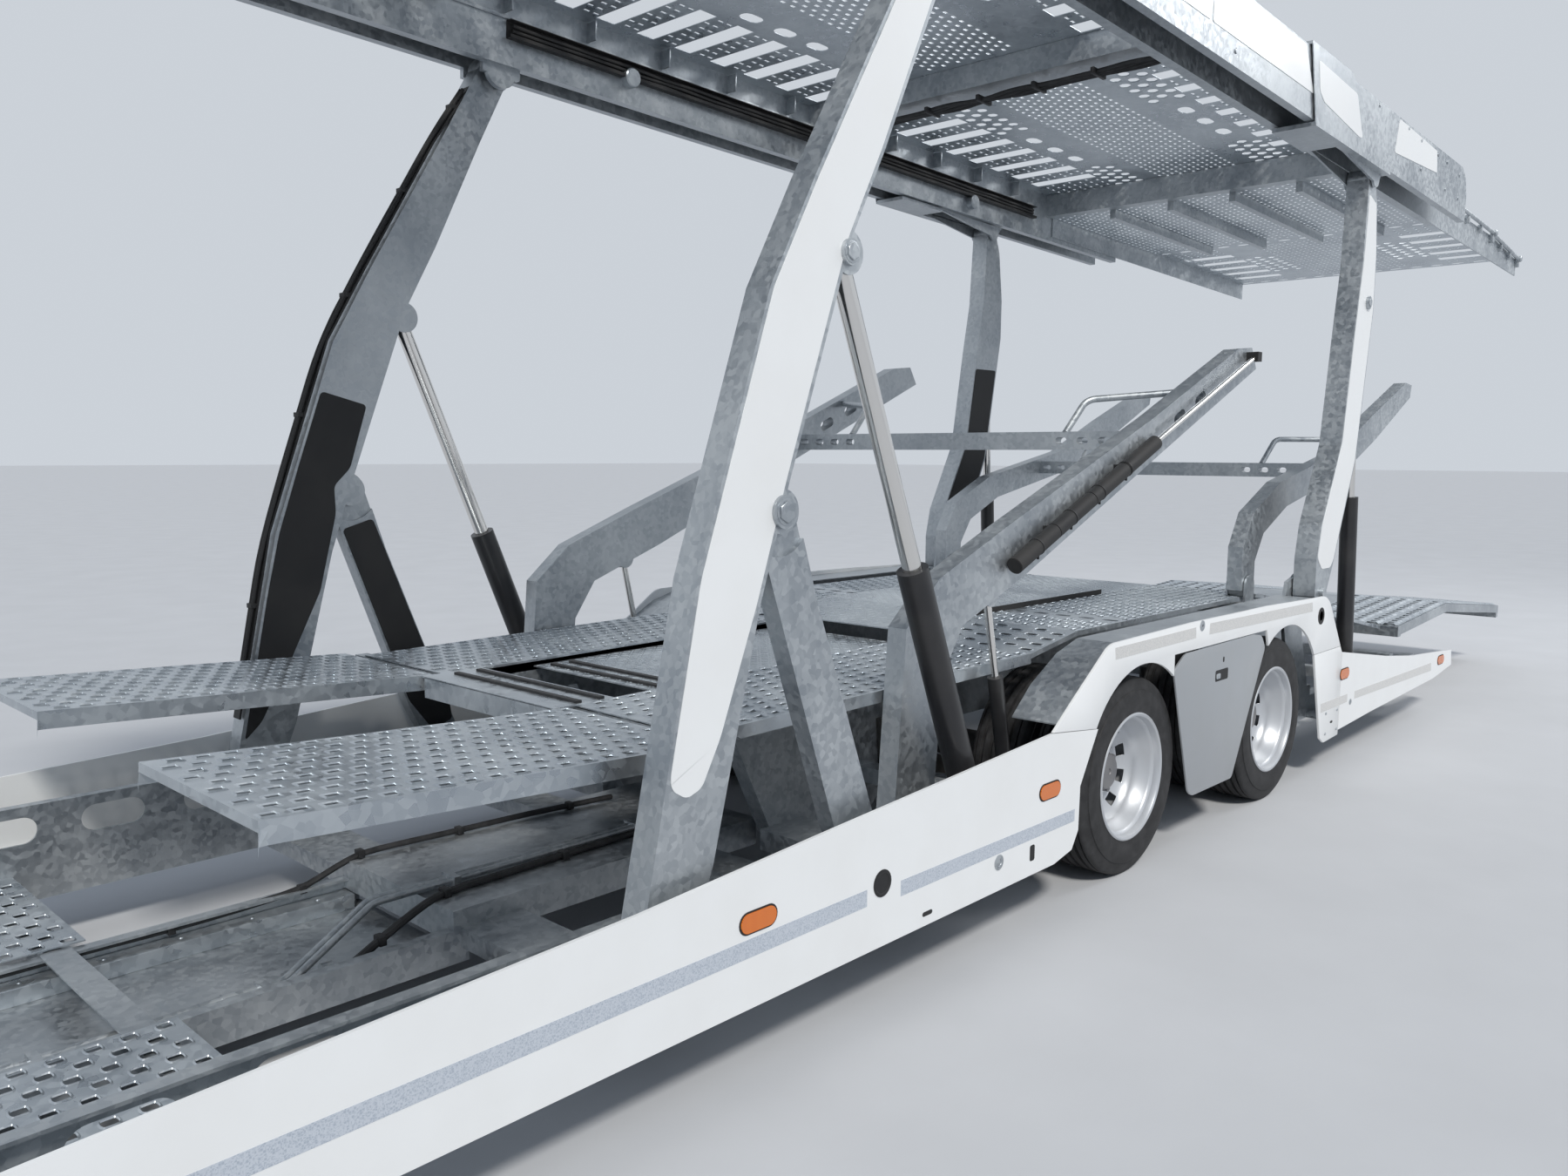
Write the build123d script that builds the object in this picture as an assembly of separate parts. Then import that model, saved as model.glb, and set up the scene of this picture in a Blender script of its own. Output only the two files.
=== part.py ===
from build123d import *
import math
import os

# Two-deck car transporter trailer with a central pair of axles.
# Millimetres. +X is forward, +Y is the trailer's left, +Z is up, the ground is Z = 0.
# The origin is on the ground below the middle of the trailer's length and width.
# Tables that say "from the front axle" hold X distances counted forward from that axle, and REAR is the
# rear axle's: what stands behind the wheels is placed from it.

# Overall sizes
TRAILER_WIDTH = 2550
FRONT_AXLE_X = 620
AXLE_SPACING = 1410
REAR_AXLE_X = FRONT_AXLE_X - AXLE_SPACING
REAR = -AXLE_SPACING
SIDE_Y = TRAILER_WIDTH / 2

# Wheels: twin tyres on each side of each axle
TYRE_RADIUS = 391
TYRE_WIDTH = 245
TWIN_PITCH = 272
TYRE_INSET = 35
TYRE_OUTER_Y = SIDE_Y - TYRE_INSET
AXLE_RADIUS = 63
HUB_BORE_GAP = 0.5
WHEEL_OUTER_Y = TYRE_OUTER_Y - TYRE_WIDTH / 2
WHEEL_INNER_Y = WHEEL_OUTER_Y - TWIN_PITCH

# Skirts, sills and the slot in which the lifting arms move
LAMP_PROUD = 4
TAIL_LAMP_PROUD = 8
SKIRT_THICKNESS = 11
SKIRT_OUTER_Y = SIDE_Y - LAMP_PROUD
SKIRT_INNER_Y = SKIRT_OUTER_Y - SKIRT_THICKNESS
PANEL_INSET = 3
ARM_SLOT = 192
SILL_WEB = 8
SILL_OUTER_Y = SKIRT_INNER_Y - ARM_SLOT
SILL_INNER_Y = SILL_OUTER_Y - SILL_WEB
SILL_FLANGE = 40
REAR_SILL_WIDTH = 68
CROSS_TOP_Z = 245
CROSS_DEPTH = 60
COVER_INNER_Y = SILL_INNER_Y
POST_GAP = 12
POST_INNER_Y = SILL_OUTER_Y + POST_GAP
POST_PLATE = 18
SILL_LOW_Z = 160
SILL_HIGH_Z = 480
SILL_HOLE_LENGTH = 200
SILL_HOLE_HEIGHT = 90
SILL_HOLE_PITCH = 330
SILL_FRONT = 4200
SILL_REAR = 1300
RAIL_REAR = 560
SILL_HOLE_FIRST = 2250
SILL_HOLE_Z = 400
SILL_FRONT_X = FRONT_AXLE_X + SILL_FRONT
SILL_REAR_X = FRONT_AXLE_X + SILL_REAR
RAIL_REAR_X = FRONT_AXLE_X + RAIL_REAR
RAIL_Z = 300
RAIL_THICKNESS = 10

# Lifting arms, hinges and cylinders (X from the front axle, Z from the ground)
ARM_SKIRT_GAP = 46
ARM_WIDTH = 88
ARM_HIGH_Y = SKIRT_INNER_Y - ARM_SKIRT_GAP
ARM_LOW_Y = ARM_HIGH_Y - ARM_WIDTH
ARM_PLATE = 8
REAR_ARM_SKIRT_GAP = 45
REAR_ARM_WIDTH = 110
REAR_ARM_PLATE = 6
REAR_ARM_HIGH_Y = SKIRT_INNER_Y - REAR_ARM_SKIRT_GAP
REAR_ARM_LOW_Y = REAR_ARM_HIGH_Y - REAR_ARM_WIDTH
STRUT_WIDTH = 60
STRUT_LOW_Y = ARM_LOW_Y + (ARM_WIDTH - STRUT_WIDTH) / 2
STRUT_HIGH_Y = STRUT_LOW_Y + STRUT_WIDTH
STRUT_FOOT = (1575, 390)
STRUT_PIN = (1975, 1487)
ARM_FOOT = (2375, 390)
ARM_TOP_PIN = (1268, 3225)
ARM_ROD_PIN = (1720, 2179)
FRONT_CYLINDER_FOOT = (970, 350)
REAR_ARM_FOOT = (REAR - 625, 945)
REAR_ARM_TOP = (REAR - 1060, 3064)
REAR_ROD_PIN = (REAR - 1090, 2438)
REAR_CYLINDER_FOOT = (REAR - 1220, 350)
PIN_RADIUS = 25
PIN_GAP = 0.3
PIN_CAP = 12

# Upper deck: its own frame lies along the underside of the side beams
DECK_SLOPE = 2.0
DECK_ZERO_Z = 3202
DECK_FRONT = 4350
DECK_STEP = -3120
DECK_REAR = -6350
BEAM_REAR = -4040
BEAM_NOSE_LENGTH = 115
BEAM_NOSE_DEPTH = 150
BEAM_HEIGHT = 300
SHOE_INSET = 2
SHOE_GAP = 6
SHOE_PLATE = 5
SHOE_OUTER_Y = SIDE_Y - SHOE_INSET
BEAM_WEB = 40
BEAM_RAIL = 45
BEAM_OUTER_Y = SHOE_OUTER_Y - SHOE_PLATE - SHOE_GAP
BEAM_SLOT_OUTER_Y = BEAM_OUTER_Y - BEAM_WEB
BEAM_SLOT_INNER_Y = REAR_ARM_LOW_Y - SHOE_GAP
BEAM_INNER_Y = BEAM_SLOT_INNER_Y - BEAM_RAIL
BEAM_TOP_PLATE = 40
FLOOR_SHEET = 8
REAR_FLOOR_Z = 150
REAR_SIDE_PLATE = 8
REAR_SIDE_Y = BEAM_INNER_Y - REAR_SIDE_PLATE

# Lower deck, with the front and rear wheel lift levers beside its tracks
TRACK_INNER_Y = 390
LEVER_SILL_GAP = 15
LEVER_WIDTH = 75
LEVER_HIGH_Y = SILL_INNER_Y - LEVER_SILL_GAP
LEVER_LOW_Y = LEVER_HIGH_Y - LEVER_WIDTH
LEVER_SPACING = 100
TRACK_GAP = 20
TRACK_OUTER_Y = LEVER_LOW_Y - TRACK_GAP
PLANK_GAP = 20
PLANK_OUTER_Y = SILL_INNER_Y - PLANK_GAP
PLANK_HINGE = (2050, 832)
PLANK_TIP_X = 3290
PLATFORM_HINGE = (REAR - 2560, 515)
PLATFORM_REAR_X = REAR - 5210
PLATFORM_OUTER_Y = SILL_INNER_Y - 15


def at(x):
    """The part's X of a distance from the front axle."""
    return FRONT_AXLE_X + x


def block(x_low, x_high, y_low, y_high, z_low, z_high):
    size = Box(x_high - x_low, y_high - y_low, z_high - z_low)
    return Pos((x_low + x_high) / 2, (y_low + y_high) / 2, (z_low + z_high) / 2) * size


def plate(outline, y_low, y_high):
    """An upright plate: an outline of (X from the front axle, Z) between two Y values."""
    corners = [(at(x), y_low, z) for x, z in outline]
    return extrude(make_face(Polyline(*corners, close=True)), y_high - y_low, dir=(0, 1, 0))


def flat(outline, z_low, z_high):
    """A level plate: an outline of (X from the front axle, Y) between two Z values."""
    corners = [(at(x), y, z_low) for x, y in outline]
    return extrude(make_face(Polyline(*corners, close=True)), z_high - z_low, dir=(0, 0, 1))


def disc(point, radius, y_low, y_high):
    """A round pin or boss along Y at a point given as (X from the front axle, Z)."""
    turned = Rot(90, 0, 0) * Cylinder(radius, y_high - y_low)
    return Pos(at(point[0]), (y_low + y_high) / 2, point[1]) * turned


def upright_slot(centre, length, height, y_low, y_high):
    """A plate with round ends that lies along X, its centre given as (X from the front axle, Z)."""
    outline = Plane.XZ * SlotOverall(length, height)
    return Pos(at(centre[0]), y_high, centre[1]) * extrude(outline, y_high - y_low)


def rod_between(start, end, y, radius):
    """A round bar in an upright plane, from one (X, Z) point to another."""
    dx = end[0] - start[0]
    dz = end[1] - start[1]
    length = math.hypot(dx, dz)
    lean = math.degrees(math.atan2(dx, dz))
    bar = Cylinder(radius, length, align=(Align.CENTER, Align.CENTER, Align.MIN))
    return Pos(at(start[0]), y, start[1]) * Rot(0, lean, 0) * bar


def along(start, end, distance):
    """The point at a distance from start towards end."""
    length = math.hypot(end[0] - start[0], end[1] - start[1])
    share = distance / length
    return (start[0] + (end[0] - start[0]) * share, start[1] + (end[1] - start[1]) * share)


def both_sides(solid):
    return [solid, mirror(solid, about=Plane.XZ)]


def on_deck(solid):
    """Moves a piece from the deck's own frame to its place on the sloping deck."""
    return Pos(FRONT_AXLE_X, 0, DECK_ZERO_Z) * Rot(0, -DECK_SLOPE, 0) * solid


def deck_plate(outline, y_low, y_high):
    """An upright plate in the deck's own frame, from an outline of (x, z)."""
    corners = [(x, y_low, z) for x, z in outline]
    return extrude(make_face(Polyline(*corners, close=True)), y_high - y_low, dir=(0, 1, 0))


def write(name, pieces):
    solids = [solid for piece in pieces for solid in piece.solids()]
    export_step(Compound(children=solids), f"parts/{name}.step")


os.makedirs("parts", exist_ok=True)


# Wheels
TYRE_SECTION = [(-95, 236), (-122, 262), (-122, 330), (-104, 378), (-92, 391), (92, 391), (104, 378),
                (122, 330), (122, 262), (95, 236)]


def tyre(axle_x, y):
    corners = [(axle_x, y + across, TYRE_RADIUS + out) for across, out in TYRE_SECTION]
    section = make_face(Polyline(*corners, close=True))
    return revolve(section, Axis((axle_x, 0, TYRE_RADIUS), (0, 1, 0)))


# Rim section: (distance inwards from the outer tyre's face, radius). The bead seats carry both tyres of a
# pair, the dish is deep, and the hub's bore takes the end of the axle.
BEAD_RADIUS = 235.7
HUB_RADIUS = 80
AXLE_END = 166.3
DRUM_RADIUS = 130
DRUM_END = 225
RIM_INNER = 2 * TWIN_PITCH - 27
RIM_SECTION = [(4, 248), (10, 251), (26.8, BEAD_RADIUS), (RIM_INNER - 26.8, BEAD_RADIUS),
               (RIM_INNER - 10, 251), (RIM_INNER - 4, 248), (RIM_INNER - 20, 222),
               (RIM_INNER - 47, 214), (205, 214), (190, 168), (184, DRUM_RADIUS), (DRUM_END, DRUM_RADIUS),
               (DRUM_END, AXLE_RADIUS + HUB_BORE_GAP), (AXLE_END - 0.3, AXLE_RADIUS + HUB_BORE_GAP),
               (AXLE_END - 0.3, 0), (118, 0), (118, HUB_RADIUS - 18), (126, HUB_RADIUS - 2), (160, HUB_RADIUS),
               (163, 130), (150, 165), (112, 200), (60, 206), (20, 222)]


def rim(axle_x, side):
    corners = [(axle_x, TYRE_OUTER_Y - inwards, TYRE_RADIUS + radius) for inwards, radius in RIM_SECTION]
    wheel = revolve(make_face(Polyline(*corners, close=True)), Axis((axle_x, 0, TYRE_RADIUS), (0, 1, 0)))
    return wheel if side > 0 else mirror(wheel, about=Plane.XZ)


for axle_name, axle_x in (("front", FRONT_AXLE_X), ("rear", REAR_AXLE_X)):
    for side_name, side in (("left", 1), ("right", -1)):
        pair = [tyre(axle_x, side * WHEEL_OUTER_Y), tyre(axle_x, side * WHEEL_INNER_Y)]
        write(f"tyres_{axle_name}_{side_name}", pair)
        write(f"rims_{axle_name}_{side_name}", [rim(axle_x, side)])

# Axles with brake drums' back plates, trailing arms and air springs
axles = []
for axle_x in (FRONT_AXLE_X, REAR_AXLE_X):
    tube = Pos(axle_x, 0, TYRE_RADIUS) * Rot(90, 0, 0) * Cylinder(AXLE_RADIUS, 2 * (TYRE_OUTER_Y - AXLE_END))
    axles.append(tube)
write("axles", axles)

# Main beams of the chassis: (X from the front axle, Z)
MAIN_BEAM = [(2030, 850), (2030, 780), (1450, 740), (1180, 200), (700, 200), (350, 520), (REAR - 590, 520),
             (REAR - 890, 330), (REAR - 2540, 330), (REAR - 2576, 500), (REAR - 2576, 524),
             (REAR - 2540, 540), (REAR - 840, 860), (REAR - 490, 922), (-50, 922), (300, 872)]
BEAM_LOW_Y = 380
BEAM_HIGH_Y = 450
PLATFORM_PIN_RADIUS = 12
PLATFORM_PIN_REACH = 30
main_beam = plate(MAIN_BEAM, BEAM_LOW_Y, BEAM_HIGH_Y)
main_beam = main_beam + disc(PLATFORM_HINGE, PLATFORM_PIN_RADIUS, BEAM_LOW_Y - PLATFORM_PIN_REACH,
                             BEAM_HIGH_Y + PLATFORM_PIN_REACH)
write("main_beams", both_sides(main_beam))

# Trailing arms under the axles, with their hangers on the main beams, and air springs
AXLE_UNDERSIDE = TYRE_RADIUS - AXLE_RADIUS
TRAILING_ARM = [(560, 470), (560, 400), (60, 270), (-380, 270), (-380, 300), (-200, 300),
                (-90, AXLE_UNDERSIDE), (90, AXLE_UNDERSIDE), (330, 420)]
HANGER = [(480, 600), (620, 600), (600, 380), (520, 380)]
suspension = []
SPRING_RADIUS = 85
SPRING_HEIGHT = 220
SPRING_BEHIND = 290
SPRING_Y = 505
SPRING_LOW_Z = 300
springs = []
for axle_distance in (0, -AXLE_SPACING):
    arm = plate([(axle_distance + x, z) for x, z in TRAILING_ARM], 470, 540)
    hanger = plate([(axle_distance + x, z) for x, z in HANGER], BEAM_HIGH_Y, 470)
    suspension += both_sides(arm)
    suspension += both_sides(hanger)
    bellows = Cylinder(SPRING_RADIUS, SPRING_HEIGHT, align=(Align.CENTER, Align.CENTER, Align.MIN))
    springs += both_sides(Pos(at(axle_distance - SPRING_BEHIND), SPRING_Y, SPRING_LOW_Z) * bellows)
write("trailing_arms", suspension)
write("air_springs", springs)

# Low spine: a trough that narrows to the drawbar, (X from the front axle, half width), and a box behind it
SPINE_PLAN = [(2400, 340), (3700, 340), (4300, 170)]
SPINE_LOW_Z = 140
SPINE_HIGH_Z = 240
SPINE_WALL = 8
SPINE_LIP = 40
BOX_REAR = 1185
BOX_FRONT = 2450
BOX_LOW_Z = 200
BOX_HIGH_Z = 300


def spine_outline(inset):
    left = [(x, half - inset) for x, half in SPINE_PLAN]
    right = [(x, inset - half) for x, half in reversed(SPINE_PLAN)]
    return left + right


box_half = SPINE_PLAN[0][1]
box_hull = block(at(BOX_REAR), at(BOX_FRONT), -box_half, box_half, BOX_LOW_Z, BOX_HIGH_Z)
box_room = block(at(BOX_REAR) - 1, at(BOX_FRONT) - SPINE_WALL, SPINE_WALL - box_half, box_half - SPINE_WALL,
                 BOX_LOW_Z - 1, BOX_HIGH_Z - SPINE_WALL)
trough_hull = flat(spine_outline(0), SPINE_LOW_Z, SPINE_HIGH_Z)
trough_room = flat(spine_outline(SPINE_WALL), SPINE_LOW_Z + SPINE_WALL, SPINE_HIGH_Z - SPINE_WALL)
trough_room = trough_room + flat(spine_outline(SPINE_LIP), SPINE_LOW_Z + SPINE_WALL, SPINE_HIGH_Z + 1)
spine_hull = trough_hull + box_hull
write("centre_spine", [trough_hull - trough_room + (box_hull - box_room)])

# Cross members from the spine to the sills: X from the front axle, width
CROSS_MEMBERS = [(1500, 160), (2320, 213), (3300, 80), (4150, 100)]
crossers = []
for x, width in CROSS_MEMBERS:
    crosser = block(at(x - width / 2), at(x + width / 2), 0, SILL_INNER_Y, CROSS_TOP_Z - CROSS_DEPTH, CROSS_TOP_Z)
    crossers += both_sides(crosser - spine_hull)

# Hydraulic pipes along the spine, in clips: X from the front axle, Y, Z
PIPE_RADIUS = 11
PIPE_SPACING = 30
PIPE_BEND = 90
PIPE_ROUTE = [(3900, 215, 200), (2900, 215, 200), (2600, 120, 318), (1450, 120, 318)]
PIPE_CLIPS = [(3500, 215, SPINE_LOW_Z + SPINE_WALL, 200), (2960, 215, SPINE_LOW_Z + SPINE_WALL, 200),
              (2330, 120, BOX_HIGH_Z, 318), (1600, 120, BOX_HIGH_Z, 318)]
CLIP_HALF = 12
pipes = []
for offset in (0, PIPE_SPACING):
    route = [(at(x), y + offset, z) for x, y, z in PIPE_ROUTE]
    path_line = FilletPolyline(*route, radius=PIPE_BEND)
    pipes.append(sweep(Plane(route[0], z_dir=path_line % 0) * Circle(PIPE_RADIUS), path=path_line))
pipe_set = pipes[0]
for x, y, z_low, z_pipe in PIPE_CLIPS:
    pipe_set = pipe_set + block(at(x - CLIP_HALF), at(x + CLIP_HALF), y - PIPE_RADIUS - CLIP_HALF,
                                y + PIPE_SPACING + PIPE_RADIUS + CLIP_HALF, z_low, z_pipe + PIPE_RADIUS + 4)
write("chassis_pipes", [pipe_set + pipes[1]])

# Outriggers from the main beams: X from the front axle, width, outer Y, low Z, high Z
OUTRIGGERS = [(1165, 220, SILL_INNER_Y, 225, RAIL_Z), (690, 80, SKIRT_INNER_Y, 370, 430),
              (800, 80, SILL_INNER_Y, 225, 285), (REAR - 425, 290, POST_INNER_Y, 840, 900),
              (REAR - 940, 80, SILL_OUTER_Y, 340, 400), (REAR - 1590, 80, SILL_OUTER_Y, 340, 400),
              (REAR - 2390, 80, SILL_OUTER_Y, 340, 400)]
for x, width, outer_y, low_z, high_z in OUTRIGGERS:
    crossers += both_sides(block(at(x - width / 2), at(x + width / 2), BEAM_HIGH_Y, outer_y, low_z, high_z))
POST_TIE = (REAR - 440, REAR - 390, 900, 930)
tie_rear, tie_front, tie_low_z, tie_high_z = POST_TIE
post_tie = block(at(tie_rear), at(tie_front), COVER_INNER_Y + 2, POST_INNER_Y, tie_low_z, tie_high_z)
crossers += both_sides(post_tie)

# Ties between the two main beams: X from the front axle, width, low Z, high Z
BEAM_TIES = [(500, 80, 560, 640), (-700, 80, 560, 640), (REAR - 440, 80, 560, 640),
             (REAR - 940, 80, 340, 400), (REAR - 1590, 80, 340, 400), (REAR - 2390, 80, 340, 400)]
for x, width, low_z, high_z in BEAM_TIES:
    crossers.append(block(at(x - width / 2), at(x + width / 2), -BEAM_LOW_Y, BEAM_LOW_Y, low_z, high_z))
write("cross_members", crossers)

# Front sills: a channel with long holes, and the rail on which the arm's foot slides
sill_web = block(SILL_REAR_X, SILL_FRONT_X, SILL_INNER_Y, SILL_OUTER_Y, SILL_LOW_Z, SILL_HIGH_Z)
flange_y = SILL_INNER_Y + SILL_FLANGE
sill_top = block(SILL_REAR_X, SILL_FRONT_X, SILL_INNER_Y, flange_y, SILL_HIGH_Z - SILL_WEB, SILL_HIGH_Z)
sill_foot = block(SILL_REAR_X, SILL_FRONT_X, SILL_INNER_Y, flange_y, SILL_LOW_Z, SILL_LOW_Z + SILL_WEB)
low_web = block(RAIL_REAR_X, SILL_REAR_X, SILL_INNER_Y, SILL_OUTER_Y, SILL_LOW_Z, RAIL_Z)
sill = sill_web + sill_top + sill_foot + low_web
for number in range(6):
    hole = (SILL_HOLE_FIRST + number * SILL_HOLE_PITCH, SILL_HOLE_Z)
    sill = sill - upright_slot(hole, SILL_HOLE_LENGTH, SILL_HOLE_HEIGHT, SILL_INNER_Y - 1, SILL_OUTER_Y + 1)
rail = block(RAIL_REAR_X, SILL_FRONT_X, SILL_OUTER_Y, SKIRT_INNER_Y, RAIL_Z - RAIL_THICKNESS, RAIL_Z)
write("side_sills", both_sides(sill + rail))

# Low wheel tracks at the front, between the spine and the sills
LOW_TRACK_REAR = 3220
LOW_TRACK_FRONT = SILL_FRONT - 1
LOW_TRACK_INNER_Y = 300
LOW_TRACK_SHEET = 8
low_track = block(at(LOW_TRACK_REAR), at(LOW_TRACK_FRONT), LOW_TRACK_INNER_Y, SILL_INNER_Y, CROSS_TOP_Z,
                  CROSS_TOP_Z + LOW_TRACK_SHEET) - spine_hull
write("low_floor", both_sides(low_track))

# Middle deck: tracks on the main beams, a centre plate, and the raised part over the wheels
DECK_TOP = [(2030, 858), (300, 880), (-50, 930), (REAR - 490, 930), (REAR - 840, 868), (REAR - 2540, 548)]
DECK_SHEET = 8


def sheet(top, y_low, y_high, thickness):
    under = [(x, z - thickness) for x, z in reversed(top)]
    return plate(list(top) + under, y_low, y_high)


tracks = both_sides(sheet(DECK_TOP[:2], BEAM_LOW_Y, TRACK_OUTER_Y, DECK_SHEET))
write("middle_deck", tracks)
write("centre_deck", [sheet([(1650, 840), (300, 850)], -BEAM_LOW_Y, BEAM_LOW_Y, DECK_SHEET)])
# Notches in the wheel deck for the feet of the rear levers
REAR_LEVER_FOOT = (REAR - 360, 980)
NOTCH_HALF_LENGTH = 100
NOTCH_DEPTH = 100
wheel_deck = sheet(DECK_TOP[1:], -TRACK_OUTER_Y, TRACK_OUTER_Y, DECK_SHEET)
notch = block(at(REAR_LEVER_FOOT[0] - NOTCH_HALF_LENGTH), at(REAR_LEVER_FOOT[0] + NOTCH_HALF_LENGTH),
              TRACK_OUTER_Y - NOTCH_DEPTH, SIDE_Y, DECK_TOP[2][1] - 2 * DECK_SHEET, DECK_TOP[2][1] + DECK_SHEET)
for cutter in both_sides(notch):
    wheel_deck = wheel_deck - cutter
write("wheel_deck", [wheel_deck])
WHEEL_COVER = [(600, 700), (480, 800), (300, 895), (150, 935), (REAR - 440, 935)]
panel_hanger = block(at(-900), at(-500), SKIRT_INNER_Y - 16, SKIRT_INNER_Y, 800, 930)
write("wheel_covers", both_sides(sheet(WHEEL_COVER, COVER_INNER_Y, SKIRT_INNER_Y, 5) + panel_hanger))

# Side skirts: (X from the front axle, Z)
FRONT_SKIRT = [(4200, 500), (3770, 521), (2520, 568), (1870, 610), (1100, 656), (670, 682), (354, 645),
               (472, 456), (477, 296), (520, 233), (640, 210), (4200, 210)]
FENDER = [(668, 684), (536, 777), (317, 921), (227, 949), (-400, 960), (REAR + 210, 956), (REAR - 455, 936),
          (REAR - 556, 915), (REAR - 640, 858), (REAR - 830, 620), (REAR - 830, 205), (REAR - 550, 205),
          (REAR - 418, 655), (REAR - 387, 710), (REAR - 240, 810), (REAR - 78, 833), (REAR + 60, 815),
          (REAR + 190, 770), (REAR + 205, 845), (-258, 845), (-250, 775), (-70, 835), (71, 838), (231, 782),
          (352, 648)]
WHEEL_PANEL = [(-262, 780), (-364, 837), (REAR + 357, 842), (REAR + 256, 826), (REAR + 210, 765),
               (REAR + 527, 216), (-478, 219), (-436, 247)]
REAR_SKIRT = [(REAR - 835, 619), (REAR - 1310, 548), (REAR - 1620, 502), (REAR - 2090, 447),
              (REAR - 2610, 409), (REAR - 2950, 382), (REAR - 2970, 281), (REAR - 2570, 244),
              (REAR - 1360, 221), (REAR - 835, 205)]
write("front_skirts", both_sides(plate(FRONT_SKIRT, SKIRT_INNER_Y, SKIRT_OUTER_Y)))
write("fenders", both_sides(plate(FENDER, SKIRT_INNER_Y, SKIRT_OUTER_Y)))
write("wheel_panels", both_sides(plate(WHEEL_PANEL, SKIRT_INNER_Y, SKIRT_OUTER_Y - PANEL_INSET)))
write("rear_skirts", both_sides(plate(REAR_SKIRT, SKIRT_INNER_Y, SKIRT_OUTER_Y)))

# Marker lamps on the skirts: centre (X from the front axle, Z)
MARKER_LAMPS = [(2124, 442), (682, 484), (REAR - 886, 498), (REAR - 2711, 346)]
LAMP_LENGTH = 130
LAMP_HEIGHT = 52
marker_lamps = []
for centre in MARKER_LAMPS:
    marker_lamps += both_sides(upright_slot(centre, LAMP_LENGTH, LAMP_HEIGHT, SKIRT_OUTER_Y, SIDE_Y))
write("marker_lamps", marker_lamps)

# Rear sills, with the brackets that carry the rear skirts
REAR_SILL_LOW_Z = 240
REAR_SILL_HIGH_Z = 340
REAR_LEDGE_Z = REAR_SILL_LOW_Z + 10
POST_FOOT_REAR = REAR - 850
POST_FOOT_FRONT = REAR - 650
REAR_SILL_END = REAR - 2890
REAR_LEDGE_END = REAR - 2540
rear_sill = block(at(REAR_SILL_END), at(POST_FOOT_FRONT), SILL_OUTER_Y - REAR_SILL_WIDTH, SILL_OUTER_Y,
                  REAR_SILL_LOW_Z, REAR_SILL_HIGH_Z)
rear_ledge = block(at(REAR_LEDGE_END), at(POST_FOOT_REAR) - 10, SILL_OUTER_Y, SKIRT_INNER_Y, REAR_SILL_LOW_Z,
                   REAR_LEDGE_Z)
post_foot = block(at(POST_FOOT_REAR), at(POST_FOOT_FRONT), SILL_OUTER_Y, POST_INNER_Y, REAR_SILL_LOW_Z,
                  REAR_SILL_HIGH_Z)
write("rear_sills", both_sides(rear_sill + rear_ledge + post_foot))

BRACKET_PLATE = 12
BRACKET_GAP = 4
BRACKET_RADIUS = 70
# Brackets of the lifting gear: pin centre, top of the member that carries the cheeks
GEAR_BRACKETS = [(STRUT_FOOT, RAIL_Z), (FRONT_CYLINDER_FOOT, RAIL_Z), (REAR_CYLINDER_FOOT, REAR_LEDGE_Z)]
bracket_inner_y = SILL_OUTER_Y + BRACKET_GAP
bracket_outer_y = SKIRT_INNER_Y - BRACKET_PLATE - BRACKET_GAP
brackets = []
for point, base_z in GEAR_BRACKETS:
    bracket = disc(point, PIN_RADIUS, bracket_inner_y, bracket_outer_y + BRACKET_PLATE)
    for y in (bracket_inner_y, bracket_outer_y):
        radius = min(BRACKET_RADIUS, point[1] - base_z)
        cheek = block(at(point[0] - BRACKET_RADIUS), at(point[0] + BRACKET_RADIUS), y, y + BRACKET_PLATE, base_z,
                      point[1])
        bracket = bracket + cheek + disc(point, radius, y, y + BRACKET_PLATE)
    brackets += both_sides(bracket)
write("cylinder_brackets", brackets)
REAR_POST = [(REAR - 450, 840), (REAR - 490, 1000), (REAR - 580, 1020), (REAR - 690, 960),
             (REAR - 730, 700), (POST_FOOT_REAR, 400), (POST_FOOT_REAR, REAR_SILL_LOW_Z),
             (POST_FOOT_FRONT, REAR_SILL_LOW_Z)]
post = plate(REAR_POST, POST_INNER_Y, POST_INNER_Y + POST_PLATE)
post = post + disc(REAR_ARM_FOOT, 90, POST_INNER_Y, POST_INNER_Y + POST_PLATE)
post = post + disc(REAR_ARM_FOOT, PIN_RADIUS, POST_INNER_Y + POST_PLATE, REAR_ARM_HIGH_Y + 20)
write("rear_arm_posts", both_sides(post))

# Drawbar, towing eye and parking jack
SPINE_FRONT, SPINE_FRONT_HALF = SPINE_PLAN[-1]
DRAWBAR_END_X = 5180
DRAWBAR_END_HALF = 60
DRAWBAR_PLAN = [(SPINE_FRONT, SPINE_FRONT_HALF), (DRAWBAR_END_X, DRAWBAR_END_HALF),
                (DRAWBAR_END_X, -DRAWBAR_END_HALF), (SPINE_FRONT, -SPINE_FRONT_HALF)]
drawbar = flat(DRAWBAR_PLAN, SPINE_LOW_Z, SPINE_HIGH_Z)
write("drawbar", [drawbar])
EYE_X = DRAWBAR_END_X + 100
EYE_Z = (SPINE_LOW_Z + SPINE_HIGH_Z) / 2
EYE_RADIUS = 100
EYE_BORE_RADIUS = 25
EYE_HEIGHT = 45
NECK_HALF = 35
NECK_HALF_HEIGHT = 20
eye = Pos(at(EYE_X), 0, EYE_Z) * (Cylinder(EYE_RADIUS, EYE_HEIGHT) - Cylinder(EYE_BORE_RADIUS, EYE_HEIGHT + 15))
neck = block(at(DRAWBAR_END_X), at(EYE_X - 60), -NECK_HALF, NECK_HALF, EYE_Z - NECK_HALF_HEIGHT,
             EYE_Z + NECK_HALF_HEIGHT)
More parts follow.
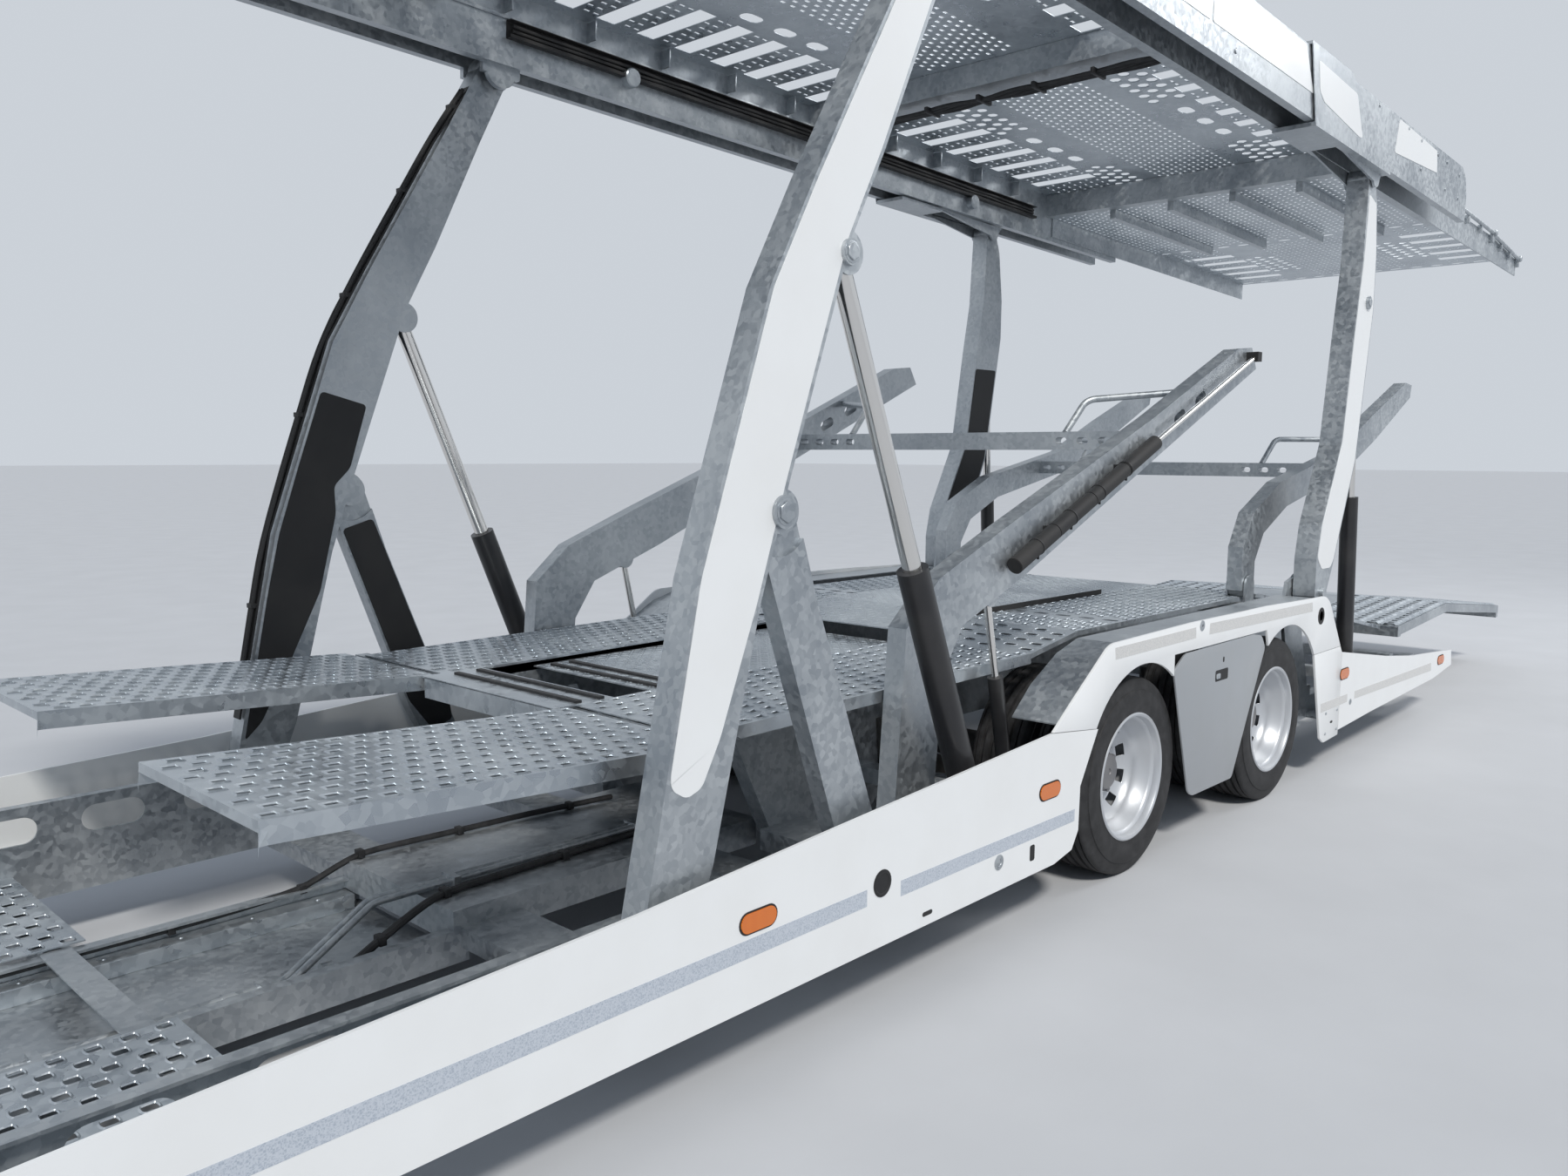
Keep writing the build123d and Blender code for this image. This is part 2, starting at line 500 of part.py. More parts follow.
write("towing_eye", [eye + neck])
JACK_X = 4700
JACK_Y = 175
JACK_RADIUS = 45
JACK_LENGTH = 800
JACK_FOOT_RADIUS = 110
JACK_FOOT_HEIGHT = 30
COLLAR_HALF = 60
on_ground = (Align.CENTER, Align.CENTER, Align.MIN)
jack_leg = Cylinder(JACK_RADIUS, JACK_LENGTH, align=on_ground)
jack_foot = Cylinder(JACK_FOOT_RADIUS, JACK_FOOT_HEIGHT, align=on_ground)
jack = Pos(at(JACK_X), JACK_Y, JACK_FOOT_HEIGHT) * jack_leg + Pos(at(JACK_X), JACK_Y, 0) * jack_foot
collar = block(at(JACK_X - COLLAR_HALF), at(JACK_X + COLLAR_HALF), 0, JACK_Y + COLLAR_HALF, EYE_Z - 30,
               EYE_Z + 30) - drawbar
write("parking_jack", [jack + collar])

# Front struts and arms
strut_body = plate([(1500, 400), (1650, 400), (1744, 582), (2018, 1337), (2045, 1487), (1905, 1487), (1827, 1249),
                    (1572, 591)], STRUT_LOW_Y, STRUT_HIGH_Y)
strut = strut_body + disc(STRUT_FOOT, 75, STRUT_LOW_Y, STRUT_HIGH_Y)
strut = strut + disc(STRUT_PIN, 70, STRUT_LOW_Y, STRUT_HIGH_Y)
tongue_room = disc(STRUT_PIN, 120, STRUT_LOW_Y - 1, STRUT_LOW_Y + 13)
tongue_room = tongue_room + disc(STRUT_PIN, 120, STRUT_HIGH_Y - 13, STRUT_HIGH_Y + 1)
strut = strut - tongue_room - disc(STRUT_PIN, PIN_RADIUS + PIN_GAP, STRUT_LOW_Y, STRUT_HIGH_Y)
strut = strut - disc(STRUT_FOOT, PIN_RADIUS + PIN_GAP, STRUT_LOW_Y - 1, STRUT_HIGH_Y + 1)
write("front_struts", both_sides(strut))
FRONT_ARM = [(2480, 400), (2280, 1330), (2025, 2060), (1860, 2355), (1540, 2890), (1343, 3230),
             (1193, 3230), (1350, 2925), (1570, 2473), (1710, 2215), (1955, 1555), (2060, 1250),
             (2230, 600), (2310, 400)]
FRONT_ARM_ROOM = [(2400, 500), (2255, 1310), (2000, 2050), (1840, 2340), (1500, 2900), (1180, 2900),
                  (1500, 2300), (1650, 2115), (1655, 1555), (1860, 1250), (2030, 600), (2110, 450)]
arm = plate(FRONT_ARM, ARM_LOW_Y, ARM_HIGH_Y) + disc(ARM_TOP_PIN, 75, ARM_LOW_Y, ARM_HIGH_Y)
arm = arm + disc(ARM_FOOT, ARM_FOOT[1] - RAIL_Z - PIN_GAP, ARM_LOW_Y, ARM_HIGH_Y)
arm = arm + disc(STRUT_PIN, 60, ARM_LOW_Y, ARM_HIGH_Y) + disc(ARM_ROD_PIN, 60, ARM_LOW_Y, ARM_HIGH_Y)
arm_room = plate(FRONT_ARM_ROOM, ARM_LOW_Y + ARM_PLATE, ARM_HIGH_Y - ARM_PLATE)
arm_room = arm_room + disc(ARM_ROD_PIN, 90, ARM_LOW_Y + ARM_PLATE, ARM_HIGH_Y - ARM_PLATE)
arm_room = arm_room + disc(STRUT_PIN, 90, ARM_LOW_Y + ARM_PLATE, ARM_HIGH_Y - ARM_PLATE)
arm = arm - arm_room
arm = arm - disc(ARM_TOP_PIN, PIN_RADIUS + PIN_GAP, ARM_LOW_Y - 1, ARM_HIGH_Y + 1)
arm = arm + disc(STRUT_PIN, PIN_RADIUS, ARM_LOW_Y + ARM_PLATE, ARM_HIGH_Y - ARM_PLATE)
arm = arm + disc(STRUT_PIN, 45, ARM_HIGH_Y, ARM_HIGH_Y + PIN_CAP)
arm = arm + disc(ARM_ROD_PIN, 36, ARM_HIGH_Y, ARM_HIGH_Y + PIN_CAP)
write("front_arms", both_sides(arm))

# Rear arms
REAR_ARM = [(REAR - 1011, 3060), (REAR - 980, 2608), (REAR - 915, 2290), (REAR - 810, 1700), (REAR - 585, 1290),
            (REAR - 545, 1120), (REAR - 545, 930), (REAR - 700, 930), (REAR - 790, 1090), (REAR - 1040, 1613),
            (REAR - 1190, 2400), (REAR - 1192, 2650), (REAR - 1153, 2948), (REAR - 1109, 3060)]
REAR_ARM_ROOM = [(REAR - 1025, 2940), (REAR - 994, 2608), (REAR - 929, 2293), (REAR - 824, 1705), (REAR - 599, 1300),
                 (REAR - 565, 1050), (REAR - 740, 1050), (REAR - 1250, 1613), (REAR - 1350, 2400), (REAR - 1350, 2940)]
rear_arm = plate(REAR_ARM, REAR_ARM_LOW_Y, REAR_ARM_HIGH_Y)
rear_arm = rear_arm + disc(REAR_ARM_TOP, 50, REAR_ARM_LOW_Y, REAR_ARM_HIGH_Y)
rear_arm = rear_arm + disc(REAR_ARM_FOOT, 80, REAR_ARM_LOW_Y, REAR_ARM_HIGH_Y)
rear_arm = rear_arm - plate(REAR_ARM_ROOM, REAR_ARM_LOW_Y + REAR_ARM_PLATE, REAR_ARM_HIGH_Y - REAR_ARM_PLATE)
rear_arm = rear_arm - disc(REAR_ARM_FOOT, PIN_RADIUS + PIN_GAP, REAR_ARM_LOW_Y - 1, REAR_ARM_HIGH_Y + 1)
rear_arm = rear_arm + disc(REAR_ROD_PIN, 34, REAR_ARM_HIGH_Y, REAR_ARM_HIGH_Y + PIN_CAP)
write("rear_arms", both_sides(rear_arm))


# Cylinders: foot, rod pin, Y, barrel length, barrel radius, rod radius
BORE_START = 90
BORE_GAP = 0.5
FRONT_CYLINDER_Y = (ARM_LOW_Y + ARM_HIGH_Y) / 2
REAR_CYLINDER_Y = (REAR_ARM_LOW_Y + REAR_ARM_HIGH_Y) / 2
CYLINDERS = [("front", FRONT_CYLINDER_FOOT, ARM_ROD_PIN, FRONT_CYLINDER_Y, 1018, 50, 30),
             ("rear", REAR_CYLINDER_FOOT, REAR_ROD_PIN, REAR_CYLINDER_Y, 1070, 44, 25)]
for name, foot, pin, y, barrel_length, barrel_radius, rod_radius in CYLINDERS:
    start = along(foot, pin, 30)
    end = along(foot, pin, barrel_length)
    barrel = rod_between(start, end, y, barrel_radius) + disc(foot, 45, y - 25, y + 25)
    room = rod_between(along(foot, pin, BORE_START), along(foot, pin, barrel_length + 5), y, rod_radius + BORE_GAP)
    barrel = barrel - room - disc(foot, PIN_RADIUS + PIN_GAP, y - 60, y + 60)
    write(f"{name}_barrels", both_sides(barrel))
    rod_end = along(foot, pin, math.dist(foot, pin) - 30)
    rod = rod_between(along(foot, pin, barrel_length - 100), rod_end, y, rod_radius)
    rod = rod + disc(pin, 40, y - 22, y + 22)
    write(f"{name}_rods", both_sides(rod))

# Upper deck
outer_web = block(BEAM_REAR, DECK_FRONT, BEAM_SLOT_OUTER_Y, BEAM_OUTER_Y, 0, BEAM_HEIGHT - BEAM_TOP_PLATE)
inner_rail = block(BEAM_REAR, DECK_FRONT, BEAM_INNER_Y, BEAM_SLOT_INNER_Y, 0, BEAM_HEIGHT - BEAM_TOP_PLATE)
top_plate = block(BEAM_REAR, DECK_FRONT, BEAM_INNER_Y, BEAM_OUTER_Y, BEAM_HEIGHT - BEAM_TOP_PLATE, BEAM_HEIGHT)
deck_beam = outer_web + inner_rail + top_plate
nose = [(BEAM_REAR - 1, BEAM_HEIGHT + 1), (BEAM_REAR + BEAM_NOSE_LENGTH, BEAM_HEIGHT + 1),
        (BEAM_REAR + BEAM_NOSE_LENGTH * 0.3, BEAM_HEIGHT - BEAM_NOSE_DEPTH * 0.35),
        (BEAM_REAR - 1, BEAM_HEIGHT - BEAM_NOSE_DEPTH)]
deck_beam = deck_beam - deck_plate(nose, BEAM_INNER_Y - 1, BEAM_OUTER_Y + 1)


def in_deck_frame(point):
    """A point (X from the front axle, Z) as (x, z) in the deck's own frame."""
    turn = math.radians(DECK_SLOPE)
    x = point[0]
    z = point[1] - DECK_ZERO_Z
    return (x * math.cos(turn) + z * math.sin(turn), z * math.cos(turn) - x * math.sin(turn))


def deck_disc(point, radius, y_low, y_high):
    x, z = in_deck_frame(point)
    return Pos(x, (y_low + y_high) / 2, z) * Rot(90, 0, 0) * Cylinder(radius, y_high - y_low)


top_x, top_z = in_deck_frame(ARM_TOP_PIN)
cheeks = []
for y_low, y_high in ((BEAM_SLOT_INNER_Y - 25, BEAM_SLOT_INNER_Y), (BEAM_SLOT_OUTER_Y, BEAM_SLOT_OUTER_Y + 25)):
    cheek = block(top_x - 90, top_x + 90, y_low, y_high, top_z - 20, 0)
    cheeks.append(cheek + deck_disc(ARM_TOP_PIN, 70, y_low, y_high))
deck_beam = deck_beam + cheeks[0] + cheeks[1]
deck_beam = deck_beam + deck_disc(ARM_TOP_PIN, PIN_RADIUS, BEAM_SLOT_INNER_Y - 1, BEAM_SLOT_OUTER_Y + 1)
write("deck_beams", [on_deck(beam) for beam in both_sides(deck_beam)])
FLOOR_LOW_Z = BEAM_HEIGHT - FLOOR_SHEET

# Upper floor: ladder slots for the straps along both edges, and long holes beside them
FLOOR_SLOT_LENGTH = 100
FLOOR_SLOT_INNER_Y = 560
FLOOR_SLOT_OUTER_Y = 980
# Rows of slots: X of the first from the front axle, number of slots, pitch
FLOOR_SLOT_ROWS = [(3980, 5, 240), (2740, 5, 240), (1478, 10, 226), (-1330, 7, 238)]
FLOOR_HOLE_Y = 465
FLOOR_HOLE_LENGTH = 120
FLOOR_HOLE_WIDTH = 70
FLOOR_HOLES = [420, 205, -10, -1890, -2125, -2360]
floor = block(DECK_STEP, DECK_FRONT, -BEAM_INNER_Y, BEAM_INNER_Y, FLOOR_LOW_Z, BEAM_HEIGHT)


def slot_row(first, number, pitch, y_low, y_high, z_low, z_high):
    """Cutters for a row of slots along both edges of a deck's floor."""
    cutters = []
    for index in range(number):
        x = first - index * pitch
        slot = block(x - FLOOR_SLOT_LENGTH / 2, x + FLOOR_SLOT_LENGTH / 2, y_low, y_high, z_low - 1, z_high + 1)
        cutters += both_sides(slot)
    return cutters


for first, number, pitch in FLOOR_SLOT_ROWS:
    for cutter in slot_row(first, number, pitch, FLOOR_SLOT_INNER_Y, FLOOR_SLOT_OUTER_Y, FLOOR_LOW_Z, BEAM_HEIGHT):
        floor = floor - cutter
for x in FLOOR_HOLES:
    hole = extrude(SlotOverall(FLOOR_HOLE_LENGTH, FLOOR_HOLE_WIDTH), 2 * FLOOR_SHEET)
    for cutter in both_sides(Pos(x, FLOOR_HOLE_Y, FLOOR_LOW_Z - 1) * hole):
        floor = floor - cutter
write("deck_floor", [on_deck(floor)])

# Cross beams of the deck: X along the deck, width, low z (their tops carry the floor)
DECK_CROSS_BEAMS = [(4200, 80, 182), (2900, 80, 182), (1600, 80, 182), (-700, 150, 182),
                    (DECK_STEP + 40, 80, REAR_FLOOR_Z)]
deck_crossers = []
for x, width, low_z in DECK_CROSS_BEAMS:
    beam = block(x - width / 2, x + width / 2, -BEAM_INNER_Y, BEAM_INNER_Y, low_z, FLOOR_LOW_Z)
    deck_crossers.append(on_deck(beam))
write("deck_cross_beams", deck_crossers)

# Lower rear section of the deck: floor with ribs under it, side plates, and slots near its end
REAR_SLOT_FIRST = -5060
REAR_SLOT_NUMBER = 5
REAR_SLOT_PITCH = 245
REAR_SLOT_INNER_Y = 600
REAR_RIB_END = -4650
REAR_RIB_WIDTH = 40
REAR_RIB_DEPTH = 55
REAR_RIBS_Y = [200, 600]
rear_deck = block(DECK_REAR, DECK_STEP, -REAR_SIDE_Y, REAR_SIDE_Y, REAR_FLOOR_Z, REAR_FLOOR_Z + FLOOR_SHEET)
for cutter in slot_row(REAR_SLOT_FIRST, REAR_SLOT_NUMBER, REAR_SLOT_PITCH, REAR_SLOT_INNER_Y, FLOOR_SLOT_OUTER_Y,
                       REAR_FLOOR_Z, REAR_FLOOR_Z + FLOOR_SHEET):
    rear_deck = rear_deck - cutter
for side in both_sides(block(DECK_REAR, DECK_STEP, REAR_SIDE_Y, BEAM_INNER_Y, 30, 200)):
    rear_deck = rear_deck + side
for y in REAR_RIBS_Y:
    rib = block(REAR_RIB_END, DECK_STEP, y - REAR_RIB_WIDTH / 2, y + REAR_RIB_WIDTH / 2,
                REAR_FLOOR_Z - REAR_RIB_DEPTH, REAR_FLOOR_Z)
    for side in both_sides(rib):
        rear_deck = rear_deck + side
write("rear_deck", [on_deck(rear_deck)])

# Sliding shoes on the deck's side beams, above the rear arms, in the deck's own frame
SHOE_FRONT = REAR + 30
SHOE_REAR = REAR - 1150
SHOE_TOP_REAR = REAR - 500
SHOE_OVER = 20
SHOE_UNDER = 25
SHOE_TOP_WIDTH = 60
SHOE_CROSS_LENGTH = 500
PAD_GAP = 0.3
PAD_LENGTH = 100
PAD_INSET = 5
GUSSET_PLATE = 12
GUSSET_RADIUS = 45
SHOE_SIDE = [(SHOE_FRONT, BEAM_HEIGHT + SHOE_OVER), (SHOE_TOP_REAR, BEAM_HEIGHT + SHOE_OVER),
             (SHOE_TOP_REAR - 60, BEAM_HEIGHT - 15), (SHOE_REAR + 40, 95), (SHOE_REAR, -SHOE_UNDER),
             (SHOE_FRONT - 100, -SHOE_UNDER), (SHOE_FRONT - 75, 60)]
side_plate = deck_plate(SHOE_SIDE, BEAM_OUTER_Y + SHOE_GAP, SHOE_OUTER_Y)
under_plate = block(SHOE_REAR, SHOE_FRONT - 100, BEAM_SLOT_OUTER_Y + 3, SHOE_OUTER_Y, -SHOE_UNDER, -SHOE_GAP)
over_plate = block(SHOE_TOP_REAR, SHOE_FRONT, BEAM_OUTER_Y - SHOE_TOP_WIDTH, SHOE_OUTER_Y, BEAM_HEIGHT + SHOE_GAP,
                   BEAM_HEIGHT + SHOE_OVER)
cross_plate = block(SHOE_FRONT - SHOE_CROSS_LENGTH, SHOE_FRONT - 100, BEAM_INNER_Y + 20, SHOE_OUTER_Y, -SHOE_UNDER,
                    -SHOE_GAP)
shoe = side_plate + under_plate + over_plate + cross_plate
for pad_x in (SHOE_REAR + 20, SHOE_FRONT - 220):
    shoe = shoe + block(pad_x, pad_x + PAD_LENGTH, BEAM_SLOT_OUTER_Y + PAD_INSET, BEAM_OUTER_Y - PAD_INSET, -SHOE_GAP,
                        -PAD_GAP)
for pad_x in (SHOE_TOP_REAR + 20, SHOE_FRONT - 120):
    shoe = shoe + block(pad_x, pad_x + PAD_LENGTH, BEAM_OUTER_Y - SHOE_TOP_WIDTH + PAD_INSET, BEAM_OUTER_Y - PAD_INSET,
                        BEAM_HEIGHT + PAD_GAP, BEAM_HEIGHT + SHOE_GAP)
shoe_x, shoe_z = in_deck_frame(REAR_ARM_TOP)
GUSSET = [(SHOE_FRONT - 450, -SHOE_GAP), (SHOE_REAR, -SHOE_GAP), (shoe_x - GUSSET_RADIUS, shoe_z),
          (shoe_x + GUSSET_RADIUS, shoe_z - 20)]
for y_low in (BEAM_SLOT_INNER_Y - GUSSET_PLATE, BEAM_SLOT_OUTER_Y):
    y_high = y_low + GUSSET_PLATE
    shoe = shoe + deck_plate(GUSSET, y_low, y_high) + deck_disc(REAR_ARM_TOP, GUSSET_RADIUS, y_low, y_high)
write("deck_shoes", [on_deck(piece) for piece in both_sides(shoe)])

# Lifting levers with their cross bars; the rear pair folds down inside the front pair
FRONT_LEVER = [(1270, 420), (1215, 1080), (1040, 1230), (640, 1385), (-463, 1795), (-1290, 2130),
               (-1440, 2145), (-1500, 2050), (-400, 1590), (500, 1210), (900, 1060), (1010, 900),
               (1060, 420)]
FRONT_LEVER_FOOT = (1165, 420)
REAR_LEVER = [(REAR - 280, 960), (REAR - 280, 1180), (REAR - 390, 1350), (REAR - 740, 1500),
              (REAR - 1590, 1660), (REAR - 2150, 1880), (REAR - 2790, 2110), (REAR - 2910, 2100),
              (REAR - 2890, 2020), (REAR - 2240, 1740), (REAR - 1670, 1530), (REAR - 840, 1370),
              (REAR - 540, 1240), (REAR - 440, 1100), (REAR - 440, 960)]
LEVER_CYLINDER_FOOT = (560, 500)
LEVER_CYLINDER_PIN = (705, 1150)
LEVER_CYLINDER_Y = (LEVER_LOW_Y + LEVER_HIGH_Y) / 2
LEVER_CHEEK = 10
CHEEK_RADIUS = 55
LEVER_CHEEK_GAP = 3
# Bars between the levers: centre (X from the front axle, Z), with long holes near both ends
BAR_THICKNESS = 50
BAR_HEIGHT = 80
FRONT_BAR = (-489, 1700)
REAR_BAR = (REAR - 1373, 1556)
BAR_HOLE_LENGTH = 56
BAR_HOLE_HEIGHT = 30
BAR_HOLE_PITCH = 104
BAR_HOLES = 4
# Hoops of tube from a bar to its levers: X from the front axle, distance inwards from the lever, Z
HOOP_RADIUS = 15
HOOP_BEND = 70
FRONT_HOOP = [(-489, 355, 1735), (-640, 340, 1885), (-840, -5, 1915)]
REAR_HOOP = [(REAR - 1373, 280, 1590), (REAR - 1530, 265, 1735), (REAR - 1830, -5, 1735)]
# Holes through the front levers: centre (X from the front axle, Z), and the lean of the lever there
FRONT_LEVER_HOLES = [(-700, 1800), (-900, 1885)]
LEVER_HOLE_LENGTH = 110
LEVER_HOLE_HEIGHT = 50
LEVER_LEAN = 24
REAR_FOOT_BASE_Z = 900
REAR_LEVER_LOW_Y = LEVER_LOW_Y - LEVER_SPACING
# Levers: name, outline, foot pin, radius of the foot, bar, base of the foot's cheeks, inner Y, hoop, holes
LEVERS = [("front", FRONT_LEVER, FRONT_LEVER_FOOT, 100, FRONT_BAR, RAIL_Z, LEVER_LOW_Y, FRONT_HOOP,
           FRONT_LEVER_HOLES),
          ("rear", REAR_LEVER, REAR_LEVER_FOOT, 60, REAR_BAR, REAR_FOOT_BASE_Z, REAR_LEVER_LOW_Y, REAR_HOOP,
           [])]
lever_feet = []


def hoop_tube(points, low_y):
    """A bent tube from the bar to the inner face of a lever."""
    route = [(at(x), low_y - inwards, z) for x, inwards, z in points]
    path = FilletPolyline(*route, radius=HOOP_BEND)
    return sweep(Plane(route[0], z_dir=path % 0) * Circle(HOOP_RADIUS), path=path)


for name, outline, foot, radius, bar, base_z, low_y, hoop, holes in LEVERS:
    high_y = low_y + LEVER_WIDTH
    lever = plate(outline, low_y, high_y) + disc(foot, radius, low_y, high_y)
    if name == "front":
        for y in (LEVER_CYLINDER_Y - 24, LEVER_CYLINDER_Y + 16):
            lever = lever + disc(LEVER_CYLINDER_PIN, 45, y, y + 8)
        lever = lever - disc(LEVER_CYLINDER_PIN, 60, LEVER_CYLINDER_Y - 16, LEVER_CYLINDER_Y + 16)
    lever = lever - disc(foot, PIN_RADIUS + PIN_GAP, low_y - 1, high_y + 1)
    for x, z in holes:
        cutter = Rot(0, LEVER_LEAN, 0) * upright_slot((-FRONT_AXLE_X, 0), LEVER_HOLE_LENGTH, LEVER_HOLE_HEIGHT,
                                                      low_y - 1, high_y + 1)
        lever = lever - Pos(at(x), 0, z) * cutter
    frame_piece = block(at(bar[0]) - BAR_THICKNESS / 2, at(bar[0]) + BAR_THICKNESS / 2, -low_y, low_y,
                        bar[1] - BAR_HEIGHT / 2, bar[1] + BAR_HEIGHT / 2)
    for index in range(BAR_HOLES):
        outline_slot = Plane.YZ * SlotOverall(BAR_HOLE_LENGTH, BAR_HOLE_HEIGHT)
        hole = extrude(outline_slot, BAR_THICKNESS, both=True)
        hole_y = low_y - LEVER_SPACING / 2 - index * BAR_HOLE_PITCH
        for cutter in both_sides(Pos(at(bar[0]), hole_y, bar[1]) * hole):
            frame_piece = frame_piece - cutter
    for side in both_sides(lever + hoop_tube(hoop, low_y)):
        frame_piece = frame_piece + side
    write(f"{name}_levers", [frame_piece])
    cheek_inner_y = low_y - LEVER_CHEEK_GAP - LEVER_CHEEK
    cheek_outer_y = high_y + LEVER_CHEEK_GAP
    foot_piece = disc(foot, PIN_RADIUS, cheek_inner_y, cheek_outer_y + LEVER_CHEEK)
    for y in (cheek_inner_y, cheek_outer_y):
        cheek_stand = block(at(foot[0] - CHEEK_RADIUS), at(foot[0] + CHEEK_RADIUS), y, y + LEVER_CHEEK, base_z,
                            foot[1])
        foot_piece = foot_piece + cheek_stand
        foot_piece = foot_piece + disc(foot, CHEEK_RADIUS, y, y + LEVER_CHEEK)
    lever_feet += both_sides(foot_piece)

# Long cylinders outside the front levers, which draw out the levers' tips: in black sleeves, with a guide rod
SLEEVE_START = (640, 1247)
SLEEVE_END = (-407, 1690)
GUIDE_ROD_END = (-1400, 2098)
SLEEVE_RADIUS = 31
SLEEVE_SEAT = 3
SLEEVE_SECTIONS = 4
SLEEVE_RING = 2
GUIDE_ROD_RADIUS = 12
SLEEVE_Y = LEVER_HIGH_Y + SLEEVE_SEAT + SLEEVE_RADIUS
SADDLE_HALF = 22
sleeve = rod_between(SLEEVE_START, SLEEVE_END, SLEEVE_Y, SLEEVE_RADIUS - SLEEVE_RING)
section_length = math.dist(SLEEVE_START, SLEEVE_END) / SLEEVE_SECTIONS
for number in range(SLEEVE_SECTIONS):
    section_start = along(SLEEVE_START, SLEEVE_END, number * section_length + SLEEVE_RING)
    section_end = along(SLEEVE_START, SLEEVE_END, (number + 1) * section_length - SLEEVE_RING)
    sleeve = sleeve + rod_between(section_start, section_end, SLEEVE_Y, SLEEVE_RADIUS)
for distance in (section_length, (SLEEVE_SECTIONS - 1) * section_length):
    x, z = along(SLEEVE_START, SLEEVE_END, distance)
    sleeve = sleeve + block(at(x) - SADDLE_HALF, at(x) + SADDLE_HALF, LEVER_HIGH_Y, SLEEVE_Y, z - SADDLE_HALF,
                            z + SADDLE_HALF)
tip_x, tip_z = GUIDE_ROD_END
tip_block = block(at(tip_x) - SADDLE_HALF, at(tip_x) + SADDLE_HALF, LEVER_HIGH_Y, SLEEVE_Y + SADDLE_HALF,
                  tip_z - SADDLE_HALF, tip_z + SADDLE_HALF)
write("front_lever_cylinders", both_sides(sleeve) + both_sides(tip_block))
rod_tip = along(GUIDE_ROD_END, SLEEVE_END, SADDLE_HALF + 6)
guide_rod = rod_between(SLEEVE_END, rod_tip, SLEEVE_Y, GUIDE_ROD_RADIUS)
write("front_lever_rods", both_sides(guide_rod - sleeve - tip_block))

# Small cylinders that prop the front levers
LEVER_BARREL_LENGTH = 350
LEVER_ROD_LENGTH = 370
LEVER_BARREL_RADIUS = 28
LEVER_ROD_RADIUS = 14
foot = LEVER_CYLINDER_FOOT
pin = LEVER_CYLINDER_PIN
lever_barrel = rod_between(along(foot, pin, 34), along(foot, pin, LEVER_BARREL_LENGTH), LEVER_CYLINDER_Y,
                           LEVER_BARREL_RADIUS)
lever_barrel = lever_barrel + disc(foot, 40, LEVER_CYLINDER_Y - 14, LEVER_CYLINDER_Y + 14)
lever_room = rod_between(along(foot, pin, 60), along(foot, pin, LEVER_BARREL_LENGTH + 5), LEVER_CYLINDER_Y,
                         LEVER_ROD_RADIUS + 0.5)
lever_barrel = lever_barrel - lever_room - disc(foot, 12 + PIN_GAP, LEVER_CYLINDER_Y - 30, LEVER_CYLINDER_Y + 30)
write("lever_barrels", both_sides(lever_barrel))
reach = math.dist(foot, pin)
lever_rod = rod_between(along(foot, pin, reach - LEVER_ROD_LENGTH), along(foot, pin, reach - 15), LEVER_CYLINDER_Y,
                        LEVER_ROD_RADIUS)
write("lever_rods", both_sides(lever_rod + disc(pin, 24, LEVER_CYLINDER_Y - 12, LEVER_CYLINDER_Y + 12)))
prop_foot = disc(foot, 12, LEVER_CYLINDER_Y - 28, LEVER_CYLINDER_Y + 28)
PROP_REAR = foot[0] - 20
PROP_FRONT = foot[0] + 90
PROP_LOW_Z = foot[1] - 100
for y in (LEVER_CYLINDER_Y - 28, LEVER_CYLINDER_Y + 18):
    prop_foot = prop_foot + block(at(PROP_REAR), at(PROP_FRONT), y, y + 10, PROP_LOW_Z, foot[1] + 12)
write("lever_feet", lever_feet + both_sides(prop_foot))

# Front planks, hinged on a bar across the noses of the main beams
PLANK_SHEET = 8
PLANK_FLANGE = 6
PLANK_DEPTH = 55
PLANK_REAR_X = 2066
KNUCKLE_RADIUS = 14
HINGE_BAR_RADIUS = 8
PLANK_TOP = [(PLANK_TIP_X, 918), (PLANK_REAR_X, 858)]
# Lugs on the bar and knuckles on the plank between them: low Y, high Y
HINGE_LUGS = [(470, 482), (745, 757), (1010, 1022)]
HINGE_KNUCKLES = [(487, 740), (762, 1005)]
hinge_bar = block(at(1980), at(2030), BEAM_HIGH_Y, TRACK_OUTER_Y + 80, 790, 850)
nose = hinge_bar + disc(PLANK_HINGE, HINGE_BAR_RADIUS, HINGE_LUGS[0][0], HINGE_LUGS[-1][1])
for y_low, y_high in HINGE_LUGS:
    nose = nose + disc(PLANK_HINGE, KNUCKLE_RADIUS, y_low, y_high)
    nose = nose + block(at(2030), at(PLANK_HINGE[0]), y_low, y_high, PLANK_HINGE[1] - KNUCKLE_RADIUS,
                        PLANK_HINGE[1] + KNUCKLE_RADIUS)
write("plank_hinges", both_sides(nose))
plank = sheet(PLANK_TOP, TRACK_INNER_Y, PLANK_OUTER_Y, PLANK_SHEET)
plank = plank + sheet(PLANK_TOP, TRACK_INNER_Y, TRACK_INNER_Y + PLANK_FLANGE, PLANK_DEPTH)
plank = plank + sheet(PLANK_TOP, PLANK_OUTER_Y - PLANK_FLANGE, PLANK_OUTER_Y, PLANK_DEPTH)
for y_low, y_high in HINGE_KNUCKLES:
    plank = plank + disc(PLANK_HINGE, KNUCKLE_RADIUS, y_low, y_high)
    plank = plank + block(at(PLANK_HINGE[0]), at(PLANK_REAR_X + 12), y_low, y_high, PLANK_HINGE[1], 852)
    plank = plank - disc(PLANK_HINGE, HINGE_BAR_RADIUS + PIN_GAP, y_low - 1, y_high + 1)
write("front_planks", both_sides(plank))

